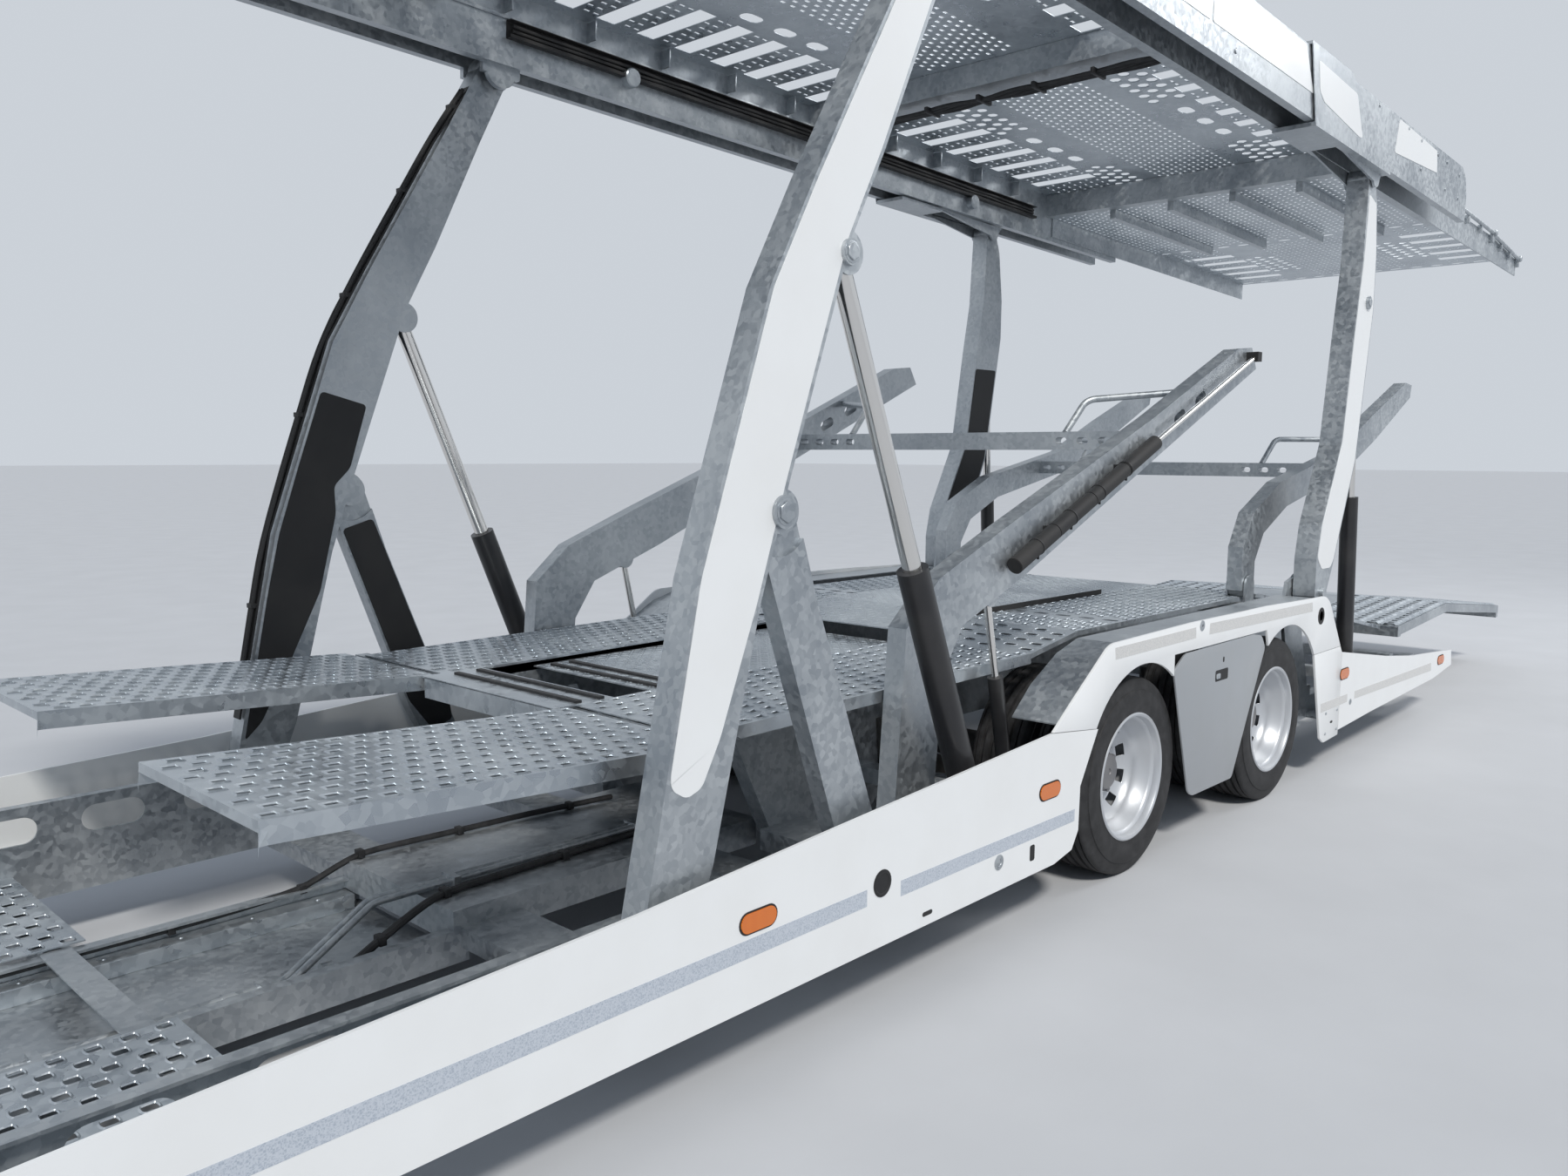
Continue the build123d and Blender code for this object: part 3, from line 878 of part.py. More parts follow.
# Rear platform, hinged on the tails of the main beams
PLATFORM_TOP = [(REAR - 2586, 548), (REAR - 3690, 600), (PLATFORM_REAR_X, 450)]
PLATFORM_SHEET = 8
PLATFORM_SIDE_DEPTH = 60
PLATFORM_BAR = (REAR - 2650, REAR - 2590, 480, 544)
PLATFORM_END_LENGTH = 60
PLATFORM_END_DEPTH = 85
LUG_WIDTH = 24
LUG_GAP = 4
LUG_RADIUS = 26
LUG_REAR = REAR - 2600
LUG_LOW_Z = PLATFORM_HINGE[1] - LUG_RADIUS
LUG_HIGH_Z = PLATFORM_HINGE[1] + LUG_RADIUS
platform = sheet(PLATFORM_TOP, -PLATFORM_OUTER_Y, PLATFORM_OUTER_Y, PLATFORM_SHEET)
side_wall = sheet(PLATFORM_TOP, PLATFORM_OUTER_Y - PLATFORM_SHEET, PLATFORM_OUTER_Y, PLATFORM_SIDE_DEPTH)
for side in both_sides(side_wall):
    platform = platform + side
bar_rear, bar_front, bar_low_z, bar_high_z = PLATFORM_BAR
platform = platform + block(at(bar_rear), at(bar_front), -PLATFORM_OUTER_Y, PLATFORM_OUTER_Y, bar_low_z, bar_high_z)
end_front = at(PLATFORM_REAR_X + PLATFORM_END_LENGTH)
end_high_z = PLATFORM_TOP[-1][1] - PLATFORM_SHEET
platform = platform + block(at(PLATFORM_REAR_X) + TAIL_LAMP_PROUD, end_front, -PLATFORM_OUTER_Y, PLATFORM_OUTER_Y,
                            end_high_z - PLATFORM_END_DEPTH, end_high_z)
for y in (BEAM_LOW_Y - LUG_GAP - LUG_WIDTH, BEAM_HIGH_Y + LUG_GAP):
    lug = disc(PLATFORM_HINGE, LUG_RADIUS, y, y + LUG_WIDTH)
    lug = lug + block(at(LUG_REAR), at(PLATFORM_HINGE[0]), y, y + LUG_WIDTH, LUG_LOW_Z, LUG_HIGH_Z)
    lug = lug - disc(PLATFORM_HINGE, PLATFORM_PIN_RADIUS + PIN_GAP, y - 1, y + LUG_WIDTH + 1)
    for piece in both_sides(lug):
        platform = platform + piece
write("rear_platform", [platform])

# Tail lamps on the platform's end bar
TAIL_LAMP_Y = 820
TAIL_LAMP_WIDTH = 300
TAIL_LAMP_HEIGHT = 70
tail_lamp = block(at(PLATFORM_REAR_X), at(PLATFORM_REAR_X) + TAIL_LAMP_PROUD, TAIL_LAMP_Y - TAIL_LAMP_WIDTH / 2,
                  TAIL_LAMP_Y + TAIL_LAMP_WIDTH / 2, end_high_z - TAIL_LAMP_HEIGHT - 5, end_high_z - 5)
write("tail_lamps", both_sides(tail_lamp))
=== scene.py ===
# %% [markdown]
# # A two-deck car transporter trailer
# The trailer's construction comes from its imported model, and this notebook gives it its looks. Every
# piece is in metres, with +X towards the towing eye, +Y to the trailer's left and +Z up.

import math

import bmesh
import bpy
from mathutils import Matrix, Vector


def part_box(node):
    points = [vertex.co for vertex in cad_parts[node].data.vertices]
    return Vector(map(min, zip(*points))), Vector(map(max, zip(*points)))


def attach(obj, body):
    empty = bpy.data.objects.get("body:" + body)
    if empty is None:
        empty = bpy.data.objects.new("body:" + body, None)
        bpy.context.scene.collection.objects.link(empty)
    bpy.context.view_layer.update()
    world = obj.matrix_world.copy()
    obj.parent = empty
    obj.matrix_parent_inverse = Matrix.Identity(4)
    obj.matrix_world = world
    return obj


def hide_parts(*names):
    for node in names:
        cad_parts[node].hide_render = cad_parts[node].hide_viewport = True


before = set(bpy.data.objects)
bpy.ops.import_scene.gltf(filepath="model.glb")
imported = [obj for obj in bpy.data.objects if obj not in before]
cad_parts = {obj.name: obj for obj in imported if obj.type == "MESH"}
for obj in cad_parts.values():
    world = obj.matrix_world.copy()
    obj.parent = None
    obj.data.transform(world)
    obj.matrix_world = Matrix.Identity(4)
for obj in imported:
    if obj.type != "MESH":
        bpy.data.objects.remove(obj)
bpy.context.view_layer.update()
FRONT_AXLE_X = 0.620

# %% [markdown]
# ## Shader maths as plain Python
# Materials are easier to read as sums. A small class wraps one output of a node, and its operators add
# Math nodes, so `crystals * 0.5 + blooms * 0.5` makes three nodes. A second class holds one material and
# adds any other node from its type, its settings and its inputs.

# %% Expressions and finishes


class Value:
    """One output socket of a material's nodes, which adds and multiplies."""

    def __init__(self, finish, socket):
        self.finish = finish
        self.socket = socket

    def __add__(self, other):
        return self.finish.math("ADD", self, other)

    def __mul__(self, other):
        return self.finish.math("MULTIPLY", self, other)


class Finish:
    """A material that is being written."""

    def __init__(self, name, roughness=0.5, metallic=0.0, colour=(0.5, 0.5, 0.5), **sockets):
        self.material = bpy.data.materials.new(name)
        self.material.use_nodes = True
        self.tree = self.material.node_tree
        self.shader = self.tree.nodes["Principled BSDF"]
        self.shader.inputs["Base Color"].default_value = (*colour, 1.0)
        self.shader.inputs["Roughness"].default_value = roughness
        self.shader.inputs["Metallic"].default_value = metallic
        for socket, value in sockets.items():
            self.shader.inputs[socket.replace("_", " ")].default_value = value
        self.material.diffuse_color = (*colour, 1.0)
        self.place = self.node("ShaderNodeTexCoord", {}, {}, "Object")

    def node(self, kind, settings, inputs, output):
        """Adds a node: its settings first, then its inputs, and gives one of its outputs."""
        made = self.tree.nodes.new(kind)
        for key, setting in settings.items():
            setattr(made, key, setting)
        for key, value in inputs.items():
            if isinstance(value, Value):
                self.tree.links.new(value.socket, made.inputs[key])
            else:
                made.inputs[key].default_value = value
        return Value(self, made.outputs[output])

    def math(self, operation, first, second):
        return self.node("ShaderNodeMath", {"operation": operation}, {0: first, 1: second}, 0)

    def stretched(self, scale):
        """The piece's own coordinates, stretched by a scale for each axis."""
        return self.node("ShaderNodeMapping", {}, {"Vector": self.place, "Scale": scale}, "Vector")

    def noise(self, scale, detail, vector=None):
        inputs = {"Vector": vector or self.place, "Scale": scale, "Detail": detail}
        return self.node("ShaderNodeTexNoise", {}, inputs, "Fac")

    def cells(self, scale):
        """One brightness for each Voronoi cell."""
        inputs = {"Vector": self.place, "Scale": scale}
        colour = self.node("ShaderNodeTexVoronoi", {}, inputs, "Color")
        return self.node("ShaderNodeSeparateColor", {}, {"Color": colour}, "Red")

    def between(self, value, low, high, low_out=0.0, high_out=1.0):
        inputs = {"Value": value, "From Min": low, "From Max": high, "To Min": low_out, "To Max": high_out}
        return self.node("ShaderNodeMapRange", {"clamp": True}, inputs, "Result")

    def mix(self, mask, first, second):
        """A colour that goes from first to second as the mask goes from 0 to 1."""
        inputs = {0: mask, 6: (*first, 1.0), 7: (*second, 1.0)}
        return self.node("ShaderNodeMix", {"data_type": "RGBA"}, inputs, 2)

    def bump(self, height, strength, distance):
        inputs = {"Height": height, "Strength": strength, "Distance": distance}
        return self.node("ShaderNodeBump", {}, inputs, "Normal")

    def link(self, **sockets):
        for name, value in sockets.items():
            self.tree.links.new(value.socket, self.shader.inputs[name.replace("_", " ")])
        return self.material


# %% [markdown]
# ## Hot-dip galvanised steel
# Zinc freezes on the steel in flat crystals a finger's width across, so the sheet is made of patches that
# are each a little brighter or darker, with cloudy grey blooms and runs over them. Voronoi cells give the
# crystals, and noises give the blooms, the runs and the fine grain. Crystals and blooms set the
# roughness, and the grain and the crystals set the bump. Both colours that the patches vary between carry
# a painted bluish reflection, and the darker one is the zinc's tone in shade, so the darker patches are
# partly painted shade.

# %% Zinc


def zinc(name, light, dark, crystal_scale, roughness):
    finish = Finish(name, metallic=0.8, colour=light)
    wobble = finish.noise(9.0, 2.0)
    crystals = finish.cells(crystal_scale)
    blooms = finish.noise(2.6, 5.0)
    runs = finish.noise(14.0, 3.0, finish.stretched((1.0, 1.0, 0.25)))
    shade = crystals * 0.35 + finish.between(blooms, 0.35, 0.7) * 0.4 + runs * 0.25
    colour = finish.mix(finish.between(shade + wobble * 0.2, 0.25, 0.85), dark, light)
    grain = finish.noise(180.0, 2.0)
    rough = finish.between(crystals * 0.5 + blooms * 0.5, 0.2, 0.8, roughness - 0.12, roughness + 0.14)
    normal = finish.bump(grain * 0.6 + crystals * 0.4, 0.12, 0.002)
    return finish.link(Base_Color=colour, Roughness=rough, Normal=normal)


# Both zincs' colours carry a painted bluish reflection, and each dark colour is the zinc's tone in shade, so
# the darker patches are partly painted shade.
ZINC = zinc("galvanised_steel", (0.55, 0.58, 0.60), (0.32, 0.35, 0.38), 55.0, 0.42)
ZINC_SHEET = zinc("galvanised_sheet", (0.58, 0.62, 0.65), (0.37, 0.41, 0.45), 40.0, 0.36)

# %% [markdown]
# ## Paints
# The skirts and the patches on the arms are gloss white over steel. Large painted panels are never quite
# flat, so a slow noise bends their reflections, and a faint film of road dust dulls them in places.

# %% Paint
DUST = (0.55, 0.52, 0.47)


def paint(name, colour, roughness, coat=0.0, metallic=0.0, dust_share=0.12):
    finish = Finish(name, roughness=roughness, metallic=metallic, colour=colour, Coat_Weight=coat,
                    Coat_Roughness=0.08)
    film = finish.between(finish.noise(4.0, 6.0), 0.4, 0.8, 0.0, dust_share)
    waves = finish.noise(1.7, 1.0)
    peel = finish.noise(260.0, 1.0)
    normal = finish.bump(waves + peel * 0.04, 0.05, 0.01)
    rough = finish.between(film, 0.0, dust_share, roughness, roughness + 0.2)
    return finish.link(Base_Color=finish.mix(film, colour, DUST), Roughness=rough, Normal=normal)


WHITE = paint("white_gloss_paint", (0.86, 0.87, 0.87), 0.28, coat=0.35)
SILVER = paint("silver_panel_paint", (0.42, 0.44, 0.46), 0.34, coat=0.3, metallic=0.55)
BLACK = paint("black_paint", (0.016, 0.016, 0.018), 0.34, coat=0.1, dust_share=0.05)
BLACK_PATCH = paint("black_patch", (0.010, 0.010, 0.011), 0.55, dust_share=0.04)
AXLE_BLACK = paint("axle_black", (0.02, 0.02, 0.02), 0.6, dust_share=0.25)
RIM_SILVER = paint("rim_silver", (0.55, 0.57, 0.60), 0.32, coat=0.2, metallic=0.5, dust_share=0.2)
HUB_GREY = paint("hub_grey", (0.20, 0.20, 0.21), 0.45, metallic=0.4, dust_share=0.3)
COMB_SCALE = 190.0


def reflective_film(name, colour, line):
    """Reflective film: small cells like a honeycomb, with paler lines between them."""
    finish = Finish(name, roughness=0.35, colour=colour, Coat_Weight=0.3)
    inputs = {"Vector": finish.place, "Scale": COMB_SCALE, "Randomness": 0.25}
    edge = finish.node("ShaderNodeTexVoronoi", {"feature": "DISTANCE_TO_EDGE"}, inputs, "Distance")
    return finish.link(Base_Color=finish.mix(finish.between(edge, 0.02, 0.10), line, colour))


FILM_GREY = reflective_film("reflective_film_grey", (0.40, 0.45, 0.52), (0.56, 0.60, 0.66))
FILM_PALE = reflective_film("reflective_film_pale", (0.56, 0.56, 0.55), (0.68, 0.67, 0.65))

# %% Chrome, rubber, tyres and lamps


def chrome():
    finish = Finish("chromed_rod", metallic=1.0, colour=(0.80, 0.78, 0.75), roughness=0.12)
    smear = finish.noise(40.0, 2.0, finish.stretched((1.0, 1.0, 0.1)))
    return finish.link(Roughness=finish.between(smear, 0.3, 0.7, 0.08, 0.2))


def rubber(name, colour, roughness):
    finish = Finish(name, colour=colour, roughness=roughness)
    bloom = finish.noise(22.0, 4.0)
    light = tuple(channel * 2.2 + 0.01 for channel in colour)
    normal = finish.bump(finish.noise(300.0, 2.0), 0.15, 0.001)
    rough = finish.between(bloom, 0.3, 0.7, roughness - 0.08, roughness + 0.08)
    shade = finish.mix(finish.between(bloom, 0.4, 0.75), colour, light)
    return finish.link(Base_Color=shade, Roughness=rough, Normal=normal)


def lamp(name, colour, deep):
    finish = Finish(name, colour=colour, roughness=0.12, Coat_Weight=0.5)
    prisms = finish.node("ShaderNodeTexWave", {}, {"Vector": finish.place, "Scale": 90.0}, "Fac")
    normal = finish.bump(prisms, 0.25, 0.002)
    return finish.link(Base_Color=finish.mix(prisms, deep, colour), Normal=normal)


CHROME = chrome()
TYRE = rubber("tyre_rubber", (0.014, 0.014, 0.015), 0.72)
RUBBER = rubber("black_rubber", (0.012, 0.012, 0.013), 0.55)
AMBER = lamp("amber_lamp", (0.85, 0.24, 0.015), (0.55, 0.09, 0.005))
RED = lamp("red_lamp", (0.50, 0.012, 0.010), (0.25, 0.004, 0.004))

# %% [markdown]
# ## Finishes on the imported pieces
# A node whose shape is right keeps its mesh and only gets a finish. One table says which nodes carry
# something other than bare zinc.

# %% Dressing the imported nodes
NODE_FINISH = {
    "front_skirts": WHITE, "fenders": WHITE, "rear_skirts": WHITE, "wheel_panels": SILVER,
    "front_barrels": BLACK, "rear_barrels": BLACK, "lever_barrels": BLACK, "axles": AXLE_BLACK,
    "trailing_arms": AXLE_BLACK, "air_springs": RUBBER, "front_rods": CHROME, "rear_rods": CHROME,
    "lever_rods": CHROME, "front_lever_cylinders": BLACK_PATCH, "front_lever_rods": CHROME,
    "marker_lamps": AMBER, "tail_lamps": RED,
    "deck_floor": ZINC_SHEET, "rear_deck": ZINC_SHEET, "front_planks": ZINC_SHEET,
}
for node_name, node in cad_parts.items():
    if node_name.startswith("tyres"):
        finish = TYRE
    elif node_name.startswith("rims"):
        finish = RIM_SILVER
    else:
        finish = NODE_FINISH.get(node_name, ZINC)
    node.data.materials.clear()
    node.data.materials.append(finish)

# %% [markdown]
# ## Modelling helpers
# Every new piece is made from a few mesh operators. The plates are outlines that are extruded, and the
# sheets are grids that are punched, folded and laid along a line. Sizes are in millimetres, counted
# forward from the front axle as on the trailer's drawing, and `at` turns them into the frame's metres.

# %% Places and pieces
MM = 0.001
TINY = 1e-6


def at(x, y, z):
    """A point in millimetres, with X counted forward from the front axle, in the frame's metres."""
    return Vector((FRONT_AXLE_X + x * MM, y * MM, z * MM))


def everything(bm):
    return list(bm.verts) + list(bm.edges) + list(bm.faces)


def mesh_from(name, bm):
    """A mesh from a bmesh, which is used up."""
    mesh = bpy.data.meshes.new(name)
    bm.to_mesh(mesh)
    bm.free()
    return mesh


def add_object(name, data):
    """Puts a mesh, a light or a camera into the scene."""
    made = bpy.data.objects.new(name, data)
    bpy.context.scene.collection.objects.link(made)
    return made


def make_piece(name, bm, finish, body, smooth_angle=None, sheet=0.0, offset=-1.0, node=None):
    """Turns a bmesh into a piece that rides on a body, and gives it its finish.

    A sheet gets its thickness below its top face, or half on each side with an offset of 0.
    """
    mesh = mesh_from(name, bm)
    if smooth_angle:
        mesh.shade_smooth()
        mesh.set_sharp_from_angle(angle=math.radians(smooth_angle))
    piece = add_object(name, mesh)
    mesh.materials.append(finish)
    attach(piece, body)
    if sheet:
        modifier = piece.modifiers.new("thickness", "SOLIDIFY")
        modifier.thickness = sheet * MM
        modifier.offset = offset
    if node:
        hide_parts(node)
    return piece


def join(parts):
    """Puts several bmeshes into one."""
    whole = bmesh.new()
    for part in parts:
        mesh = mesh_from("part", part)
        whole.from_mesh(mesh)
        bpy.data.meshes.remove(mesh)
    return whole


def both_sides(bm):
    """Adds the mirrored copy on the trailer's other side."""
    bmesh.ops.mirror(bm, geom=everything(bm), matrix=Matrix(), merge_dist=-1.0, axis="Y")
    bmesh.ops.recalc_face_normals(bm, faces=list(bm.faces))
    return bm


# %% Plates, bars and blocks


def bevel(bm, geom, offset, affect, segments):
    bmesh.ops.bevel(bm, geom=list(geom), offset=offset * MM, affect=affect, segments=segments, profile=0.5,
                    material=-1)


def prism(points, offset, corner=0.0):
    """A face through points, with its corners rounded, pulled by an offset in metres into a solid."""
    bm = bmesh.new()
    bm.faces.new([bm.verts.new(point) for point in points])
    if corner:
        bevel(bm, bm.verts, corner, "VERTICES", 5)
    raised = bmesh.ops.extrude_face_region(bm, geom=list(bm.faces))["geom"]
    moved = [item for item in raised if isinstance(item, bmesh.types.BMVert)]
    bmesh.ops.translate(bm, verts=moved, vec=offset)
    bmesh.ops.recalc_face_normals(bm, faces=list(bm.faces))
    return bm


def plate(outline, y_low, y_high, corner=0.0):
    """An upright plate: an outline of (X, Z) between two Y values."""
    return prism([at(x, y_low, z) for x, z in outline], (0, (y_high - y_low) * MM, 0), corner)


def bar(section, x_low, x_high):
    """A bar along the trailer: an outline of (Y, Z) pulled from one X to another."""
    return prism([at(x_low, y, z) for y, z in section], ((x_high - x_low) * MM, 0, 0))


def block(x_low, x_high, y_low, y_high, z_low, z_high, edge=0.0):
    """A box between millimetre limits, with its edges broken."""
    bm = bmesh.new()
    low, high = at(x_low, y_low, z_low), at(x_high, y_high, z_high)
    size = Matrix.Diagonal((*(high - low), 1.0))
    bmesh.ops.create_cube(bm, size=1.0, matrix=Matrix.Translation((low + high) / 2) @ size)
    if edge:
        bevel(bm, bm.edges, edge, "EDGES", 2)
    return bm


def cone(place, sides, radius, height, top=1.0):
    """A cylinder on the Z axis of a place, or a cone when its top has a share of the radius."""
    bm = bmesh.new()
    bmesh.ops.create_cone(bm, cap_ends=True, segments=sides, radius1=radius * MM, radius2=radius * top * MM,
                          depth=height * MM, matrix=place)
    return bm


# %% [markdown]
# ## Punched sheet
# The wheel tracks are sheet steel with staggered holes whose edges are drawn up so that tyres grip. A
# grid has two cells for each hole. Dissolving the edge between the two makes one cell a hole wide, and
# every other row dissolves the neighbouring edge, which gives the half-pitch stagger with no loose seams.
# Insets make the flat margin and the drawn lip, and the inner faces are deleted. The insets are even, so
# the grid is made in a stretched space and scaled back, which leaves a hole of the wanted length and
# width.

# %% Punching a sheet
LIP_WIDTH = 4.0


def flat_grid(length, width, columns, rows, ring=(1.0, 1.0)):
    """A flat grid, centred in XY, in the space that a ring stretches."""
    bm = bmesh.new()
    size = Matrix.Diagonal((length * MM / ring[0] / 2, width * MM / ring[1] / 2, 1.0, 1.0))
    bmesh.ops.create_grid(bm, x_segments=columns, y_segments=rows, size=1.0, matrix=size)
    return bm


def open_holes(bm, cells, ring, corner, cuts, lip):
    """Turns cells of a stretched grid into holes: a flat ring, a drawn lip, and a rounded opening."""
    bmesh.ops.inset_individual(bm, faces=cells, thickness=0.5, use_even_offset=True)
    bmesh.ops.scale(bm, vec=ring, verts=list(bm.verts))
    if corner:
        round_holes(bm, cells, corner + LIP_WIDTH, cuts)
    bmesh.ops.inset_individual(bm, faces=cells, thickness=LIP_WIDTH * MM, use_even_offset=True)
    if lip:
        raised = {vert for face in cells for vert in face.verts}
        bmesh.ops.translate(bm, verts=list(raised), vec=(0, 0, lip * MM))
    bmesh.ops.delete(bm, geom=cells, context="FACES")


def round_holes(bm, holes, corner, cuts):
    """Rounds the corners of the holes' faces to a radius, after adding points to their edges."""
    if cuts:
        edges = {edge for face in holes for edge in face.edges}
        bmesh.ops.bisect_edges(bm, edges=list(edges), cuts=cuts)
    radius = corner * MM
    for face in holes:
        middle = face.calc_center_bounds()
        half = Vector((max(abs(vert.co.x - middle.x) for vert in face.verts),
                       max(abs(vert.co.y - middle.y) for vert in face.verts)))
        for vert in face.verts:
            offset = vert.co - middle
            core = Vector((max(min(offset.x, half.x - radius), radius - half.x),
                           max(min(offset.y, half.y - radius), radius - half.y), offset.z))
            reach = offset - core
            if reach.length > TINY:
                vert.co = middle + core + reach.normalized() * radius


def punched_sheet(length, width, columns, rows, hole, corner=0.0, cuts=0, lip=0.0):
    """A flat sheet, centred in XY, with staggered holes."""
    half_cell = length * MM / (2 * columns + 1)
    cell_width = width * MM / rows
    ring = Vector((2 * half_cell - (hole[0] + 2 * LIP_WIDTH) * MM,
                   cell_width - (hole[1] + 2 * LIP_WIDTH) * MM, 1.0))
    bm = flat_grid(length, width, 2 * columns + 1, rows, ring)
    dissolved = []
    for edge in bm.edges:
        first, second = (vert.co for vert in edge.verts)
        if abs(first.x - second.x) > TINY:
            continue
        column = round((first.x * ring.x + length * MM / 2) / half_cell)
        row = int(((first.y + second.y) / 2 * ring.y + width * MM / 2) / cell_width)
        if 0 < column < 2 * columns + 1 and (column + row) % 2 == 1:
            dissolved.append(edge)
    bmesh.ops.dissolve_edges(bm, edges=dissolved, use_verts=False)
    open_holes(bm, [face for face in bm.faces if len(face.verts) == 6], ring, corner, cuts, lip)
    return bm


def holed_grid(length, width, columns, rows, hole, corner=0.0, cuts=0, lip=0.0):
    """A sheet whose every cell has a hole in its middle."""
    ring = Vector(((length / columns - hole[0] - 2 * LIP_WIDTH) * MM,
                   (width / rows - hole[1] - 2 * LIP_WIDTH) * MM, 1.0))
    bm = flat_grid(length, width, columns, rows, ring)
    open_holes(bm, list(bm.faces), ring, corner, cuts, lip)
    return bm


# %% Folding a sheet and laying it down
ON_EDGE = 1e-5


def fold_edges(bm, axis, place, depth, both=False):
    """Folds flanges down from the boundary edges at a place on an axis, or on both sides of the middle."""
    def chosen(vert):
        across = abs(vert.co[axis]) if both else vert.co[axis]
        return abs(across - place * MM) < ON_EDGE

    edges = [edge for edge in bm.edges if edge.is_boundary and all(chosen(vert) for vert in edge.verts)]
    made = bmesh.ops.extrude_edge_only(bm, edges=edges)["geom"]
    moved = [item for item in made if isinstance(item, bmesh.types.BMVert)]
    bmesh.ops.translate(bm, verts=moved, vec=(0, 0, -depth * MM))


def running_lengths(line):
    """How far along a line each of its points lies."""
    lengths = [0.0]
    for first, second in zip(line, line[1:]):
        lengths.append(lengths[-1] + math.dist(first, second))
    return lengths


def line_length(line):
    return running_lengths(line)[-1]


def lay_along(bm, line, y_middle):
    """Moves a flat sheet onto a line of (X, Z) points, with its height along the line's normal."""
    whole = line_length(line) * MM
    for vert in bm.verts:
        left = (vert.co.x + whole / 2) / MM
        for first, second in zip(line, line[1:]):
            run = math.dist(first, second)
            if left <= run or second == line[-1]:
                break
            left -= run
        along = Vector((second[0] - first[0], second[1] - first[1])) / run
        height = vert.co.z / MM
        x = first[0] + along.x * left - along.y * height
        z = first[1] + along.y * left + along.x * height
        vert.co = at(x, y_middle + vert.co.y / MM, z)
    bmesh.ops.recalc_face_normals(bm, faces=list(bm.faces))
    if sum(face.normal.z for face in bm.faces) < 0:
        bmesh.ops.reverse_faces(bm, faces=list(bm.faces))
    return bm


# %% [markdown]
# ## Front planks and tracks
# The planks carry the cars' wheels down to the towing truck. Each is one folded sheet: a punched top,
# deep side flanges and a short lip at its tip. The middle tracks and the low tracks are punched in the
# same way.

# %% The planks
LIP = 3.0
TRACK_SHEET = 4.0
PLANK_LINE = [(2066, 858), (3290, 918)]
PLANK_FLANGE = 52.0
PLANK_TIP = 24.0


def track(line, y_low, y_high, flange, hole=(37.0, 27.0), pitch=68.0, row=65.0, tip=0.0, corner=0.0, cuts=0):
    """One punched and folded track laid along a line, as a bmesh."""
    length = line_length(line)
    width = y_high - y_low
    columns = int(length / pitch)
    rows = round(width / row)
    bm = punched_sheet(length, width, columns, rows, hole, corner, cuts, LIP)
    if flange:
        fold_edges(bm, 1, width / 2, flange, both=True)
    if tip:
        fold_edges(bm, 0, length / 2, tip)
    lay_along(bm, line, (y_low + y_high) / 2)
    print("track", round(length), "by", round(width), "mm,", columns * rows, "holes")
    return bm


planks = both_sides(track(PLANK_LINE, 390.0, 1040.0, PLANK_FLANGE, tip=PLANK_TIP))
make_piece("punched_planks", planks, ZINC_SHEET, "front_planks", sheet=TRACK_SHEET, node="front_planks")

# %% The middle tracks and the low tracks
TRACK_INNER_Y, TRACK_OUTER_Y = 380.0, 950.0
MIDDLE_LINE = [(300, 880), (2030, 858)]
LOW_LINE = [(3220, 253), (4199, 253)]
tracks = both_sides(track(MIDDLE_LINE, TRACK_INNER_Y, TRACK_OUTER_Y, 40.0))
make_piece("punched_middle_tracks", tracks, ZINC_SHEET, "chassis", sheet=TRACK_SHEET, node="middle_deck")
tracks = both_sides(track(LOW_LINE, 340, 1060, 0.0, (37.0, 33.0), 80.0, 62.0, corner=7.0, cuts=2))
make_piece("punched_low_tracks", tracks, ZINC_SHEET, "chassis", sheet=TRACK_SHEET, node="low_floor")

# %% [markdown]
# ## Deck over the wheels
# Behind the middle tracks the deck rises over the axles and slopes down to the rear platform. Its tracks
# are punched like the others, and between them a chequer plate covers the frame.

# %% The wheel deck's tracks
WHEEL_LINE = [(-3950, 548), (-2250, 868), (-1900, 930), (-50, 930), (300, 880)]
WHEEL_FLANGE = 20.0
NOTCH = (-1870, -1670, 850)
# A row of large slots crosses the tracks, and the slope at the front has larger slots too
SLOT_REAR, SLOT_FRONT = (-490.0, 930.0), (-372.0, 930.0)


def cut_notch(bm, x_low, x_high, y_from):
    """Cuts a rectangle out of both side edges of a laid sheet."""
    cuts = [(at(x, 0, 0), (1, 0, 0)) for x in (x_low, x_high)]
    cuts += [(at(0, y, 0), (0, 1, 0)) for y in (-y_from, y_from)]
    for place, normal in cuts:
        bmesh.ops.bisect_plane(bm, geom=everything(bm), plane_co=place, plane_no=normal)
    gone = []
    for face in bm.faces:
        middle = face.calc_center_median()
        if at(x_low, 0, 0).x < middle.x < at(x_high, 0, 0).x and abs(middle.y) > y_from * MM:
            gone.append(face)
    bmesh.ops.delete(bm, geom=gone, context="FACES")


def wheel_track(line, hole=(44.0, 23.0), pitch=76.0, row=57.0, **corners):
    return track(line, TRACK_INNER_Y, TRACK_OUTER_Y, WHEEL_FLANGE, hole, pitch, row, **corners)


track_width = TRACK_OUTER_Y - TRACK_INNER_Y
long_track = wheel_track(WHEEL_LINE[:-2] + [SLOT_REAR])
slot_row = holed_grid(SLOT_FRONT[0] - SLOT_REAR[0], track_width, 1, 5, (36.0, 74.0), 17.0, 3)
fold_edges(slot_row, 1, track_width / 2, WHEEL_FLANGE, both=True)
lay_along(slot_row, [SLOT_REAR, SLOT_FRONT], (TRACK_INNER_Y + TRACK_OUTER_Y) / 2)
short_track = wheel_track([SLOT_FRONT, WHEEL_LINE[-2]])
slope_track = wheel_track(WHEEL_LINE[-2:], (32.0, 58.0), 88.0, 95.0, corner=15.0, cuts=2)
wheel_tracks = both_sides(join([long_track, slot_row, short_track, slope_track]))
cut_notch(wheel_tracks, *NOTCH)
make_piece("punched_wheel_tracks", wheel_tracks, ZINC_SHEET, "chassis", sheet=TRACK_SHEET, node="wheel_deck")

